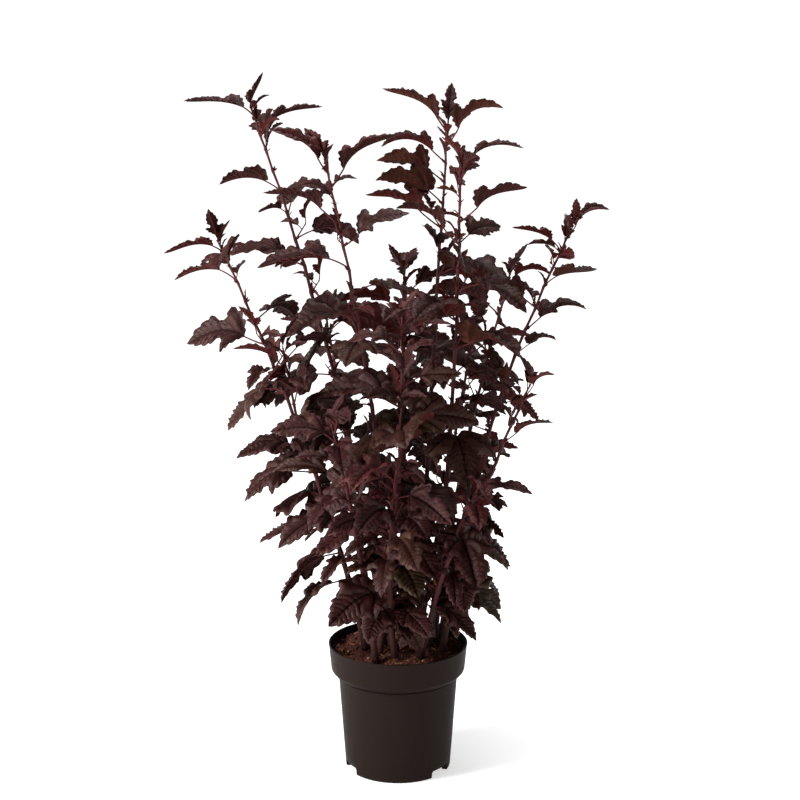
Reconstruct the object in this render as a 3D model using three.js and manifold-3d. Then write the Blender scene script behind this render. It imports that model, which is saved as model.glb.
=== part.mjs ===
// A potted ninebark: a flowering shrub with dark, three-lobed leaves on upright canes in a round
// nursery pot. Millimetres, +Z up, the pot's foot at z = 0, the photo's viewer looks along +Y.

import * as THREE from 'three';
import { mergeVertices } from 'three/addons/utils/BufferGeometryUtils.js';
import Module from 'manifold-3d';

const wasm = await Module();
wasm.setup();

// Gap that touching pieces keep
const GAP = 0.3;

// Pot
const POT = {
  height: 178,
  rimRadius: 95,
  rimFootRadius: 91.5,
  rimDepth: 36,
  shoulderDrop: 9,
  bodyTopRadius: 81.5,
  footRadius: 72,
  wall: 1.8,
  footRound: 3,
  footFlat: 5,
  floorBottom: 12,
  floorThickness: 2.2,
  sides: 36,
};
const NOTCH = { angles: [-157, -35, 85], width: 38, height: 10, round: 5, cut: 30 };
const DRAIN = { count: 6, radius: 6, circle: 46, cut: 20, sides: 10 };

// Potting soil, whose top lies below the rim
const SOIL = { top: 168, sides: 24 };

// Canes: foot on the soil, tip, and how far the middle bows from the straight line between them.
// bare is the share of the length below the first leaf. droop says how much its leaves hang, from 0
// to 1, pitch scales the distance between its nodes, and size its leaves. leaves gives, from the
// tip down, the side on which each node's leaf stands, as the viewer sees it: left, right, front or
// back, in a capital letter where the leaf is large, and a dot where it has dropped.
const CANES = [
  { name: 'left_tall', foot: [-20, 14], tip: [-195, 60, 899], bow: [23, 4], bare: 0.22,
    droop: 0.1, leaves: 'LRb.lbrL.RflflrFl' },
  { name: 'left_middle', foot: [-8, -6], tip: [-94, -40, 840], bow: [17, 0], bare: 0.2,
    leaves: 'LR.LrlrlfrlfbFf' },
  { name: 'left_outer', foot: [-44, -4], tip: [-235, -20, 733], bow: [18, -4], bare: 0.1,
    droop: 0.6, leaves: 'lfL.RLrlrlLRLfL' },
  { name: 'front_centre', foot: [-26, -26], tip: [5, -150, 655], bow: [10, 14], bare: 0.2,
    droop: 0.25, pitch: 0.9, leaves: 'frlFrlrFLFflfr' },
  { name: 'right_tall', foot: [30, 26], tip: [67, 80, 884], bow: [-3, 0], bare: 0.22,
    leaves: 'LRlLlLfFFlbfflfr' },
  { name: 'right_middle', foot: [42, 2], tip: [80, -30, 842], bow: [10, 0], bare: 0.2,
    leaves: 'RfbRlfRlFbfFllf' },
  { name: 'right_outer', foot: [58, 14], tip: [232, 30, 746], bow: [-26, 0], bare: 0.2,
    size: 0.85, leaves: 'rlfrlrrbfl.lbf' },
  { name: 'right_back', foot: [50, 36], tip: [156, 130, 668], bow: [-12, -10], bare: 0.2,
    size: 0.9, leaves: 'rlLfflbbflfbf' },
  { name: 'right_low', foot: [60, -16], tip: [170, -90, 556], bow: [-14, 6], bare: 0.16,
    droop: 0.15, size: 0.8, leaves: 'rlfrl.FlFfb' },
  { name: 'front_low', foot: [-4, -44], tip: [-2, -172, 462], bow: [-8, 12], bare: 0.12,
    droop: 0.45, pitch: 0.85, leaves: 'FlrFlrfFbr' },
  { name: 'front_right', foot: [30, -40], tip: [104, -134, 436], bow: [-6, 10], bare: 0.12,
    droop: 0.4, pitch: 0.85, leaves: 'flFrFlfbl' },
  { name: 'front_left', foot: [-30, -52], tip: [-84, -150, 520], bow: [4, 10], bare: 0.14,
    droop: 0.35, pitch: 0.85, leaves: 'flFrLfFrf' },
  { name: 'back_left', foot: [-34, 44], tip: [-104, 178, 612], bow: [4, -12], bare: 0.18,
    droop: 0.2, leaves: 'brlbfrblrbr' },
  { name: 'back_centre', foot: [4, 50], tip: [8, 186, 660], bow: [2, -14], bare: 0.18,
    droop: 0.15, leaves: 'brlbfrlbrlbr' },
  { name: 'back_right', foot: [30, 62], tip: [112, 196, 600], bow: [0, -12], bare: 0.18,
    droop: 0.2, leaves: 'blrbfrblrb' },
];

// The limb below a cane's leaves has more sides than the stem within its foliage
const CANE = { footRadius: 4.6, tipRadius: 1.1, flare: 1.3, flareEnd: 30, taper: 0.8, sides: 6,
  rings: 4, stemSides: 5, stemRings: 3 };

// A side branch of the outer left cane, which stands in that cane's foliage
const BRANCH = { name: 'branch', of: 'left_outer', at: 0.5, tip: [-148, -62, 598], bow: [-3, 0],
  bare: 0.2, radius: 2, rings: 5, leaves: 'rllfrbl' };

// Nodes lie closer together towards the tip
const NODE = { first: 18, short: 15, long: 41, reach: 110 };

// Leaves, from the tip of a cane down to its shaded foot
const LEAF = {
  young: 36,
  grown: 80,
  growth: 14,
  large: 1.12,
  stalkShare: 0.38,
  widthShare: 0.4,
  thickness: 0.024,
  stalkRadius: 1.1,
  shadeFrom: 50,
  shadeLength: 340,
  deepest: 1.1,
};

// Angles in degrees of the leaf stalk, the blade's root and the blade's tip above the level, and
// of the fold along the midrib: in full light and in deep shade
const LIT = { stalk: 36, root: 22, tip: -26, fold: 32 };
const SHADED = { stalk: 6, root: -26, tip: -74, fold: 12 };

// Young leaves round each tip, and the short shoots that stand in some leaf axils
const ROSETTE = { count: 3, step: 3, offset: 0.3, length: 34, stalk: 7, turn: 40, turnStep: 97,
  angles: { stalk: 74, root: 66, tip: 30, fold: 38 } };
const SHOOT = { from: 130, share: 0.4, length: 24, turn: 34, rise: 52, radius: 1, leaf: 40,
  stalk: 9.5, shade: 0.2, places: [[1, 0], [0.7, 110]] };

// Seeded changes from leaf to leaf: whole range of the turn, nod and roll in degrees, and of size
const CHANGE = { turn: 44, nod: 20, roll: 36, smallest: 0.86, size: 0.28 };
const SEED = { first: 1000, step: 77 };

// Where a blade is tested for room: shares of its length along the midrib and across it
const BLADE_SPOTS = [
  [0.04, 0], [0.14, 0.15], [0.14, -0.15], [0.28, 0], [0.28, 0.17], [0.28, -0.17],
  [0.28, 0.35], [0.28, -0.35], [0.45, 0.1], [0.45, -0.1], [0.45, 0.29], [0.45, -0.29],
  [0.62, 0], [0.62, 0.21], [0.62, -0.21], [0.78, 0.08], [0.78, -0.08], [0.95, 0],
];
const STALK_SPOTS = [0.35, 0.7, 1];

// Room that leaves keep: a blade's in shares of its length, the others' in millimetres
const CLEARANCE = { blade: 0.085, stalk: 3.5, cane: 3.5, ownCane: 5 };

// Turns and nods tried, in degrees, when a leaf's first place is taken
const TRIES = [
  [0, 0], [18, 0], [-18, 0], [0, 16], [0, -16], [36, 8], [-36, -8], [36, -12], [-36, 12],
  [58, 0], [-58, 0], [80, 10], [-80, -10], [110, 0], [-110, 0], [150, 0],
];

// A stem's course is tested as this many straight stretches
const LINE_STEPS = 16;

const SIDE_ANGLE = { r: 0, b: 90, l: 180, f: -90 };
const DEGREE = Math.PI / 180;
const UP = new THREE.Vector3(0, 0, 1);

// Finishes
const plastic = new THREE.MeshStandardMaterial({ color: 0x3a3432, roughness: 0.62, metalness: 0 });
const peat = new THREE.MeshStandardMaterial({ color: 0x4a2412, roughness: 0.95, metalness: 0 });
const bark = new THREE.MeshStandardMaterial({ color: 0x46191b, roughness: 0.7, metalness: 0 });
const foliage = new THREE.MeshStandardMaterial({ color: 0x35202a, roughness: 0.55, metalness: 0 });

// Seeded numbers from 0 to 1, always the same for the same seed
function seededNumbers(seed) {
  let state = seed;
  return () => {
    state = (Math.imul(state, 1664525) + 1013904223) >>> 0;
    return state / 4294967296;
  };
}

// Boolean helpers

function toSolid(geometry) {
  const plain = geometry.clone();
  plain.deleteAttribute('normal');
  plain.deleteAttribute('uv');
  const welded = mergeVertices(plain, 1e-5);
  return new wasm.Manifold(new wasm.Mesh({
    numProp: 3,
    vertProperties: new Float32Array(welded.attributes.position.array),
    triVerts: new Uint32Array(welded.index.array),
  }));
}

function toGeometry(solid) {
  const mesh = solid.getMesh();
  const geometry = new THREE.BufferGeometry();
  geometry.setAttribute('position', new THREE.BufferAttribute(mesh.vertProperties, 3));
  geometry.setIndex(new THREE.BufferAttribute(mesh.triVerts, 1));
  geometry.computeVertexNormals();
  return geometry;
}

// Pot and soil

function turned(profile, sides) {
  const points = profile.map(([radius, height]) => new THREE.Vector2(radius, height));
  const geometry = new THREE.LatheGeometry(points, sides);
  geometry.rotateX(Math.PI / 2);
  return geometry;
}

function bodyRadius(height) {
  const top = POT.height - POT.rimDepth - POT.shoulderDrop;
  return THREE.MathUtils.mapLinear(height, 0, top, POT.footRadius, POT.bodyTopRadius);
}

function potShell() {
  const rimFoot = POT.height - POT.rimDepth;
  const bodyTop = rimFoot - POT.shoulderDrop;
  const floorTop = POT.floorBottom + POT.floorThickness;
  const lip = POT.wall / 2;
  const profile = [
    [0, POT.floorBottom],
    [POT.footRadius - POT.footRound - POT.footFlat, POT.floorBottom],
    [POT.footRadius - POT.footRound - POT.footFlat, 0],
    [POT.footRadius - POT.footRound, 0],
    [POT.footRadius - 0.9, 0.9],
    [bodyRadius(POT.footRound), POT.footRound],
    [POT.bodyTopRadius, bodyTop],
    [POT.bodyTopRadius + 5.2, bodyTop + 2.6],
    [POT.rimFootRadius - 1, rimFoot - 1.8],
    [POT.rimFootRadius, rimFoot + 1],
    [POT.rimRadius, POT.height - lip],
    [POT.rimRadius - lip, POT.height],
    [POT.rimRadius - POT.wall, POT.height - lip],
    [POT.rimFootRadius - POT.wall, rimFoot + 1],
    [POT.bodyTopRadius - POT.wall, bodyTop + 2],
    [bodyRadius(floorTop) - POT.wall, floorTop],
    [0, floorTop],
  ];
  return toSolid(turned(profile, POT.sides));
}

// An arched opening with round top corners, cut through the foot's wall
function footNotch(degrees) {
  const half = NOTCH.width / 2;
  const arch = new THREE.Shape();
  arch.moveTo(-half, -1);
  arch.lineTo(half, -1);
  arch.lineTo(half, NOTCH.height - NOTCH.round);
  arch.quadraticCurveTo(half, NOTCH.height, half - NOTCH.round, NOTCH.height);
  arch.lineTo(-half + NOTCH.round, NOTCH.height);
  arch.quadraticCurveTo(-half, NOTCH.height, -half, NOTCH.height - NOTCH.round);
  const geometry = new THREE.ExtrudeGeometry(arch, {
    depth: NOTCH.cut,
    bevelEnabled: false,
    curveSegments: 3,
  });
  geometry.rotateX(Math.PI / 2);
  geometry.translate(0, POT.footRadius + NOTCH.cut / 3, 0);
  geometry.rotateZ((degrees - 90) * DEGREE);
  return toSolid(geometry);
}

function drainHole(index) {
  const geometry = new THREE.CylinderGeometry(
    DRAIN.radius, DRAIN.radius, DRAIN.cut, DRAIN.sides);
  geometry.rotateX(Math.PI / 2);
  geometry.translate(DRAIN.circle, 0, POT.floorBottom);
  geometry.rotateZ(index * 2 * Math.PI / DRAIN.count);
  return toSolid(geometry);
}

function pot() {
  let shell = potShell();
  for (const degrees of NOTCH.angles) {
    shell = shell.subtract(footNotch(degrees));
  }
  for (let index = 0; index < DRAIN.count; index += 1) {
    shell = shell.subtract(drainHole(index));
  }
  return toGeometry(shell);
}

function pottingSoil() {
  const rimFoot = POT.height - POT.rimDepth;
  const bodyTop = rimFoot - POT.shoulderDrop;
  const floor = POT.floorBottom + POT.floorThickness + GAP;
  const inset = POT.wall + 2 * GAP;
  const topRadius = THREE.MathUtils.mapLinear(
    SOIL.top, rimFoot, POT.height, POT.rimFootRadius, POT.rimRadius);
  return turned([
    [0, floor],
    [bodyRadius(floor) - inset, floor],
    [POT.bodyTopRadius - inset, bodyTop + 2],
    [POT.rimFootRadius - inset, rimFoot + 2],
    [topRadius - inset, SOIL.top],
    [0, SOIL.top],
  ], SOIL.sides);
}

// Limbs

function bowedPath(foot, tip, bow) {
  const middle = foot.clone().lerp(tip, 0.5);
  middle.x += 2 * bow[0];
  middle.y += 2 * bow[1];
  return new THREE.QuadraticBezierCurve3(foot, middle, tip);
}

function caneRadius(share) {
  const radius = THREE.MathUtils.lerp(
    CANE.footRadius, CANE.tipRadius, Math.pow(share, CANE.taper));
  return radius + CANE.flare * Math.exp(-share * CANE.flareEnd);
}

function branchRadius(share) {
  return BRANCH.radius * (1 - 0.5 * share);
}

function twigRadius(share) {
  return SHOOT.radius * (1.2 - 0.5 * share);
}

// A tapering limb: a cylinder whose rings are laid along the path from one share to another
function limb(path, from, to, radiusAt, sides, rings, levelFoot) {
  const geometry = new THREE.CylinderGeometry(1, 1, 1, sides, rings);
  const position = geometry.attributes.position;
  const point = new THREE.Vector3();
  const along = new THREE.Vector3();
  for (let i = 0; i < position.count; i += 1) {
    point.fromBufferAttribute(position, i);
    const share = THREE.MathUtils.lerp(from, to, point.y + 0.5);
    along.copy(levelFoot && share === from ? UP : path.getTangent(share));
    const across = new THREE.Vector3(0, 1, 0).cross(along).normalize();
    const other = across.clone().cross(along);
    const radius = radiusAt(share);
    const centre = path.getPoint(share);
    centre.addScaledVector(across, point.x * radius);
    centre.addScaledVector(other, point.z * radius);
    position.setXYZ(i, centre.x, centre.y, centre.z);
  }
  return geometry;
}

// Leaves

// A leaf's frame: where its stalk starts, the way it faces, and its angles in radians
function leafFrame(start, turn, length, stalk, angles, roll) {
  const out = new THREE.Vector3(Math.cos(turn), Math.sin(turn), 0);
  const rise = (angle) => out.clone().multiplyScalar(Math.cos(angle))
    .addScaledVector(UP, Math.sin(angle));
  const root = start.clone().addScaledVector(rise(angles.stalk), stalk);
  return { start, out, rise, root, length, stalk, angles, roll };
}

// A point on the blade: share runs from the root to the tip, and across is in blade lengths,
// measured to the left of the midrib, where the fold lifts it
function bladePoint(leaf, share, across) {
  const steps = 6;
  const point = leaf.root.clone();
  for (let step = 0; step < steps; step += 1) {
    const middle = (step + 0.5) / steps * share;
    const angle = THREE.MathUtils.lerp(leaf.angles.root, leaf.angles.tip, middle);
    point.addScaledVector(leaf.rise(angle), leaf.length * share / steps);
  }
  const angle = THREE.MathUtils.lerp(leaf.angles.root, leaf.angles.tip, share);
  const normal = leaf.rise(angle + Math.PI / 2);
  const side = UP.clone().cross(leaf.out);
  const tilt = leaf.roll + Math.sign(across) * leaf.angles.fold;
  point.addScaledVector(side, across * leaf.length * Math.cos(tilt));
  point.addScaledVector(normal, across * leaf.length * Math.sin(tilt));
  return { point, normal };
}

// One closed body: a three-sided stalk that widens into a blade with two side lobes and a long
// middle lobe, thick along the midrib and thin at the edge
function leafSolid(leaf) {
  const half = LEAF.widthShare;
  const side = UP.clone().cross(leaf.out);
  const thick = leaf.length * LEAF.thickness;
  const ring = (centre, angle, radius) => {
    const normal = leaf.rise(angle + Math.PI / 2);
    return [
      centre.clone().addScaledVector(side, radius).addScaledVector(normal, 0.5 * radius),
      centre.clone().addScaledVector(side, -radius).addScaledVector(normal, 0.5 * radius),
      centre.clone().addScaledVector(normal, -radius),
    ];
  };
  const radius = Math.min(LEAF.stalkRadius, 0.022 * leaf.length);
  const inner = ring(leaf.start, leaf.angles.stalk, radius);
  const outer = ring(leaf.root, leaf.angles.root, 0.8 * radius);
  const middle = bladePoint(leaf, 0.42, 0);
  const points = [
    ...inner,
    ...outer,
    bladePoint(leaf, 0.3, half).point,
    bladePoint(leaf, 0.3, -half).point,
    bladePoint(leaf, 0.65, 0.6 * half).point,
    bladePoint(leaf, 0.65, -0.6 * half).point,
    bladePoint(leaf, 1, 0).point,
    middle.point.clone().addScaledVector(middle.normal, 0.5 * thick),
    middle.point.clone().addScaledVector(middle.normal, -0.5 * thick),
  ];
  const faces = [
    0, 2, 1,
    0, 1, 4, 0, 4, 3,
    1, 2, 5, 1, 5, 4,
    2, 0, 3, 2, 3, 5,
    3, 4, 11,
    3, 11, 6, 4, 7, 11,
    6, 11, 8, 7, 9, 11,
    8, 11, 10, 9, 10, 11,
    5, 3, 6, 5, 7, 4,
    5, 6, 12, 5, 12, 7,
    6, 8, 12, 7, 12, 9,
    8, 10, 12, 9, 12, 10,
  ];
  const geometry = new THREE.BufferGeometry();
  geometry.setAttribute('position', new THREE.Float32BufferAttribute(
    points.flatMap((point) => point.toArray()), 3));
  geometry.setIndex(faces);
  return geometry;
}

// Growth

// Blades and stalks that stand already, each as test points with the room that they keep
const taken = [];

function standing(points, reach, stem) {
  const middle = points.reduce((sum, point) => sum.add(point), new THREE.Vector3())
    .divideScalar(points.length);
  const spread = Math.max(...points.map((point) => point.distanceTo(middle))) + reach;
  return { points, reach, middle, spread, stem: stem.name };
}

function bladeBody(leaf, stem) {
  const points = BLADE_SPOTS.map(([share, across]) => bladePoint(leaf, share, across).point);
  return standing(points, CLEARANCE.blade * leaf.length, stem);
}

function stalkBody(start, end, stem) {
  const points = STALK_SPOTS.map((share) => start.clone().lerp(end, share));
  return standing(points, CLEARANCE.stalk, stem);
}

function bodiesMeet(body, other) {
  if (body.middle.distanceTo(other.middle) > body.spread + other.spread) {
    return false;
  }
  const reach = body.reach + other.reach;
  return body.points.some((point) => (
    other.points.some((otherPoint) => point.distanceTo(otherPoint) < reach)));
}

function distanceToLine(point, line) {
  let best = Infinity;
  for (let i = 0; i < line.length - 1; i += 1) {
    const along = line[i + 1].clone().sub(line[i]);
    const offset = point.clone().sub(line[i]);
    const share = THREE.MathUtils.clamp(offset.dot(along) / along.lengthSq(), 0, 1);
    best = Math.min(best, offset.addScaledVector(along, -share).length());
  }
  return best;
}

function meetsLine(body, line, room) {
  return body.points.some((point) => distanceToLine(point, line) < room);
}

// True where a leaf keeps clear of the leaves that stand already and of every cane. Its stalk may
// come near what grows on its own stem.
function isClear(blade, stalk, stem) {
  return !taken.some((other) => bodiesMeet(blade, other))
    && !taken.some((other) => other.stem !== stem.name && bodiesMeet(stalk, other))
    && !meetsLine(blade, stem.line, CLEARANCE.ownCane)
    && !stem.otherLines.some((line) => meetsLine(blade, line, blade.reach + CLEARANCE.cane)
      || meetsLine(stalk, line, stalk.reach + CLEARANCE.cane));
}

// Tries the leaf at its own side and then turned further and further, and skips it where no
// turn is clear
function placedLeaf(stem, random, start, turn, length, stalk, angles) {
  const sway = (random() - 0.5) * CHANGE.turn * DEGREE;
  const size = length * (CHANGE.smallest + CHANGE.size * random());
  const nod = (random() - 0.5) * CHANGE.nod * DEGREE;
  const roll = (random() - 0.5) * CHANGE.roll * DEGREE;
  for (const [extraTurn, extraNod] of TRIES) {
    const lift = nod + extraNod * DEGREE;
    const tilted = {
      stalk: angles.stalk * DEGREE + 0.5 * lift,
      root: angles.root * DEGREE + lift,
      tip: angles.tip * DEGREE + lift,
      fold: angles.fold * DEGREE,
    };
    const leaf = leafFrame(start, turn + sway + extraTurn * DEGREE, size, stalk, tilted, roll);
    const blade = bladeBody(leaf, stem);
    const stalkRoom = stalkBody(leaf.start, leaf.root, stem);
    if (isClear(blade, stalkRoom, stem)) {
      taken.push(blade, stalkRoom);
      return leaf;
    }
  }
  return null;
}

function mixAngles(shade) {
  const mixed = {};
  for (const key of Object.keys(LIT)) {
    mixed[key] = THREE.MathUtils.lerp(LIT[key], SHADED[key], shade);
  }
  return mixed;
}

// Distance of each node below the tip, for as many nodes as the cane has
function nodeDepths(stem) {
  const depths = [];
  let depth = NODE.first;
  for (let i = 0; i < stem.leaves.length; i += 1) {
    depths.push(depth);
    depth += stem.pitch
      * (NODE.short + (NODE.long - NODE.short) * (1 - Math.exp(-depth / NODE.reach)));
  }
  return depths;
}

// Where a cane's foliage parts into its upper and lower mass: midway between two nodes
function splitShare(stem) {
  const length = stem.path.getLength();
  const wanted = THREE.MathUtils.lerp(stem.bare, 1, 0.5);
  const depths = nodeDepths(stem);
  const gaps = depths.slice(1).map((depth, i) => 1 - (depth + depths[i]) / 2 / length);
  return gaps.reduce((best, gap) => (
    Math.abs(gap - wanted) < Math.abs(best - wanted) ? gap : best));
}

// Leaves of one stem from the tip down, with the short shoots in their axils
function growLeaves(stem, random) {
  const grown = [];
  const length = stem.path.getLength();
  for (let i = 0; i < ROSETTE.count; i += 1) {
    const turn = (stem.turn + i * 360 / ROSETTE.count) * DEGREE;
    const share = 1 - ROSETTE.step * (i + ROSETTE.offset) / length;
    const leaf = placedLeaf(stem, random, stem.path.getPoint(share), turn, ROSETTE.length,
      ROSETTE.stalk, ROSETTE.angles);
    if (leaf) {
      grown.push({ share, leaf });
    }
  }
  const depths = nodeDepths(stem);
  depths.forEach((depth, index) => {
    const share = 1 - depth / length;
    if (share < stem.bare + 0.01) {
      return;
    }
    const start = stem.path.getPoint(share);
    const letter = stem.leaves[index].toLowerCase();
    const bulk = stem.size * (letter === stem.leaves[index] ? 1 : LEAF.large);
    const shade = THREE.MathUtils.clamp(
      (depth - LEAF.shadeFrom) / LEAF.shadeLength + stem.droop, 0, LEAF.deepest);
    const size = bulk
      * (LEAF.young + (LEAF.grown - LEAF.young) * (1 - Math.exp(-depth / LEAF.growth)));
    const turn = letter === '.' ? 0 : SIDE_ANGLE[letter] * DEGREE;
    if (letter !== '.') {
      const leaf = placedLeaf(stem, random, start, turn, size, LEAF.stalkShare * size,
        mixAngles(shade));
      if (leaf) {
        grown.push({ share, leaf });
      }
    }
    if (depth > SHOOT.from && random() < SHOOT.share) {
      grown.push(...growShoot(stem, random, start, turn + SHOOT.turn * DEGREE, share));
    }
  });
  return grown;
}

// A short shoot: a thin twig with a leaf at its tip and one at its side
function growShoot(stem, random, start, turn, share) {
  const out = new THREE.Vector3(Math.cos(turn), Math.sin(turn), 0);
  const rise = SHOOT.rise * DEGREE;
  const length = SHOOT.length * (0.7 + 0.6 * random());
  const tip = start.clone()
    .addScaledVector(out, length * Math.cos(rise))
    .addScaledVector(UP, length * Math.sin(rise));
  const leaves = [];
  for (const [place, side] of SHOOT.places) {
    const root = start.clone().lerp(tip, place);
    const leaf = placedLeaf(stem, random, root, turn + side * DEGREE, SHOOT.leaf,
      SHOOT.stalk, side === 0 ? ROSETTE.angles : mixAngles(SHOOT.shade));
    if (leaf) {
      leaves.push({ share, leaf });
    }
  }
  if (leaves.length > 0) {
    leaves.push({ share, twig: { start, tip } });
    taken.push(stalkBody(start, tip, stem));
  }
  return leaves;
}

function twigSolid(twig) {
  const path = new THREE.LineCurve3(twig.start, twig.tip);
  return limb(path, 0, 1, twigRadius, 3, 1, false);
}

function grownSolid(item) {
  return item.leaf ? leafSolid(item.leaf) : twigSolid(item.twig);
}

// A mass of foliage: a stretch of stem with its twigs and leaves joined into one body
function foliageMass(pieces) {
  const solids = pieces.map((geometry) => toSolid(geometry));
  return toGeometry(wasm.Manifold.union(solids));
}

// The plant

const plant = new THREE.Group();

function add(name, geometry, material) {
  const mesh = new THREE.Mesh(geometry, material);
  mesh.name = name;
  plant.add(mesh);
}

add('pot', pot(), plastic);
add('potting_soil', pottingSoil(), peat);

function growingStem(plan, path, index) {
  return {
    droop: 0,
    pitch: 1,
    size: 1,
    ...plan,
    path,
    line: path.getPoints(LINE_STEPS),
    turn: ROSETTE.turn + ROSETTE.turnStep * index,
    seed: SEED.first + SEED.step * index,
  };
}

const stems = CANES.map((cane, index) => {
  const foot = new THREE.Vector3(cane.foot[0], cane.foot[1], SOIL.top + GAP);
  return growingStem(cane, bowedPath(foot, new THREE.Vector3(...cane.tip), cane.bow), index);
});
const parent = stems.find((stem) => stem.name === BRANCH.of);
const branch = growingStem(BRANCH, bowedPath(
  parent.path.getPoint(BRANCH.at), new THREE.Vector3(...BRANCH.tip), BRANCH.bow), CANES.length);
const growing = [...stems, branch];
for (const stem of growing) {
  stem.otherLines = growing.filter((other) => other !== stem).map((other) => other.line);
}
const growth = new Map(growing.map((stem) => (
  [stem.name, growLeaves(stem, seededNumbers(stem.seed))])));

for (const stem of stems) {
  const length = stem.path.getLength();
  const clear = GAP / length;
  const split = splitShare(stem);
  add(`cane_${stem.name}`,
    limb(stem.path, 0, stem.bare, caneRadius, CANE.sides, CANE.rings, true), bark);
  const spans = [
    ['lower', stem.bare + clear, split],
    ['upper', split + clear, 1],
  ];
  for (const [part, from, to] of spans) {
    const pieces = [
      limb(stem.path, from, to, caneRadius, CANE.stemSides, CANE.stemRings, false),
      ...growth.get(stem.name).filter((item) => item.share >= from && item.share < to)
        .map(grownSolid),
    ];
    if (stem.name === BRANCH.of && BRANCH.at >= from && BRANCH.at < to) {
      pieces.push(
        limb(branch.path, 0, 1, branchRadius, CANE.stemSides, BRANCH.rings, false),
        ...growth.get(branch.name).map(grownSolid),
      );
    }
    add(`foliage_${stem.name}_${part}`, foliageMass(pieces), foliage);
  }
}

// The middle of the whole plant's box stands over the origin
const box = new THREE.Box3().setFromObject(plant);
const centre = box.getCenter(new THREE.Vector3());
plant.position.set(-centre.x, -centre.y, 0);

export default plant;
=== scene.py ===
"""A potted ninebark: dark three-lobed leaves on upright canes in a round nursery pot."""

import logging
import math
from dataclasses import astuple, dataclass, field
from enum import Enum
from functools import lru_cache
from itertools import combinations
from typing import Any, ClassVar, Sequence

import bpy
import numpy as np
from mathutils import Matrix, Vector
from mathutils.geometry import delaunay_2d_cdt


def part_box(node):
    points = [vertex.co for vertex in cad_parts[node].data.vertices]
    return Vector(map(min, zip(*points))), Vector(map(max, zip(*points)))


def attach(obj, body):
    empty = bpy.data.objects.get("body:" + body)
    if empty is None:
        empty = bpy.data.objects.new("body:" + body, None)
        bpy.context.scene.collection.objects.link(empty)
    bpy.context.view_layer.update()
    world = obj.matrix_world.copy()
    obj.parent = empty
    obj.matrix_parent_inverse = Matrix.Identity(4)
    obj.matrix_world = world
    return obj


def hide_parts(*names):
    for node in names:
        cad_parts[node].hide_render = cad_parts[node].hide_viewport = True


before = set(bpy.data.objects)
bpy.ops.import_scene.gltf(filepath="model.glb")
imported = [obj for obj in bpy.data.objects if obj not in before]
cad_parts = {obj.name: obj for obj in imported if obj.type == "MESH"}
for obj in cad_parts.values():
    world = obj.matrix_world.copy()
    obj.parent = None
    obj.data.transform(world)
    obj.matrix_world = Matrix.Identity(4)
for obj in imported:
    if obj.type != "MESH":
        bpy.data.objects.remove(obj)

log = logging.getLogger("ninebark")

Rgb = tuple[float, float, float]
PointsAndFaces = tuple[np.ndarray, np.ndarray]

UP = np.array([0.0, 0.0, 1.0])
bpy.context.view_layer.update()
POT_LOW, POT_HIGH = (np.array(corner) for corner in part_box("pot"))
# Shapes are worked out in millimetres from FOOT, the middle of the pot's foot in metres
MM = 0.001
FOOT = (POT_LOW + POT_HIGH) / 2 * (1, 1, 0)


def linear(colour: Sequence[float]) -> tuple[float, float, float, float]:
    """Turn a colour of 0 to 255, as seen on a screen, into the shader's linear one.

    Args:
        colour: red, green and blue from 0 to 255.

    Returns:
        Linear red, green, blue and an alpha of 1.
    """
    parts = [channel / 255 for channel in colour]
    made = [p / 12.92 if p <= 0.04045 else ((p + 0.055) / 1.055) ** 2.4 for p in parts]
    return (made[0], made[1], made[2], 1.0)


def compass(angle: float) -> np.ndarray:
    """Give the level direction at a compass angle in radians."""
    return np.array([math.cos(angle), math.sin(angle), 0.0])


def circle(sides: int) -> np.ndarray:
    """Spread angles evenly round a full turn."""
    return np.arange(sides) * 2 * math.pi / sides


def headings(line: np.ndarray) -> np.ndarray:
    """Give the direction of a course at each of its points."""
    along = np.gradient(line, axis=0)
    return along / np.linalg.norm(along, axis=1, keepdims=True)


def run_along(line: np.ndarray) -> np.ndarray:
    """Give the distance from the start at each point of a course."""
    return np.concatenate([[0], np.cumsum(np.linalg.norm(np.diff(line, axis=0), axis=1))])


def respace(line: np.ndarray, count: int) -> np.ndarray:
    """Space points evenly along a flat course.

    Args:
        line: the course.
        count: how many points.

    Returns:
        The points.
    """
    run = run_along(line)
    wanted = np.linspace(0, run[-1], count)
    return np.stack([np.interp(wanted, run, line[:, k]) for k in (0, 1)], -1)


def gaps(spots: np.ndarray, line: np.ndarray) -> np.ndarray:
    """Measure how far spots lie from a course of straight stretches.

    Args:
        spots: the spots.
        line: the ends of the stretches.

    Returns:
        The distance of each spot.
    """
    start, along = line[:-1], np.diff(line, axis=0)
    offset = spots[:, None] - start
    share = np.clip((offset * along).sum(-1) / (along ** 2).sum(-1), 0, 1)
    return np.linalg.norm(offset - share[..., None] * along, axis=-1).min(axis=1)


def skin(rings: int, sides: int) -> np.ndarray:
    """Join rings of corners, each to the next, with triangles.

    Args:
        rings: number of rings.
        sides: number of corners in each.

    Returns:
        The triangles.
    """
    ring = np.arange(rings - 1)[:, None] * sides
    here = np.arange(sides)[None]
    ahead = (here + 1) % sides
    first = np.stack([ring + here, ring + ahead, ring + sides + ahead], -1)
    second = np.stack([ring + here, ring + sides + ahead, ring + sides + here], -1)
    return np.concatenate([first.reshape(-1, 3), second.reshape(-1, 3)])


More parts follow.
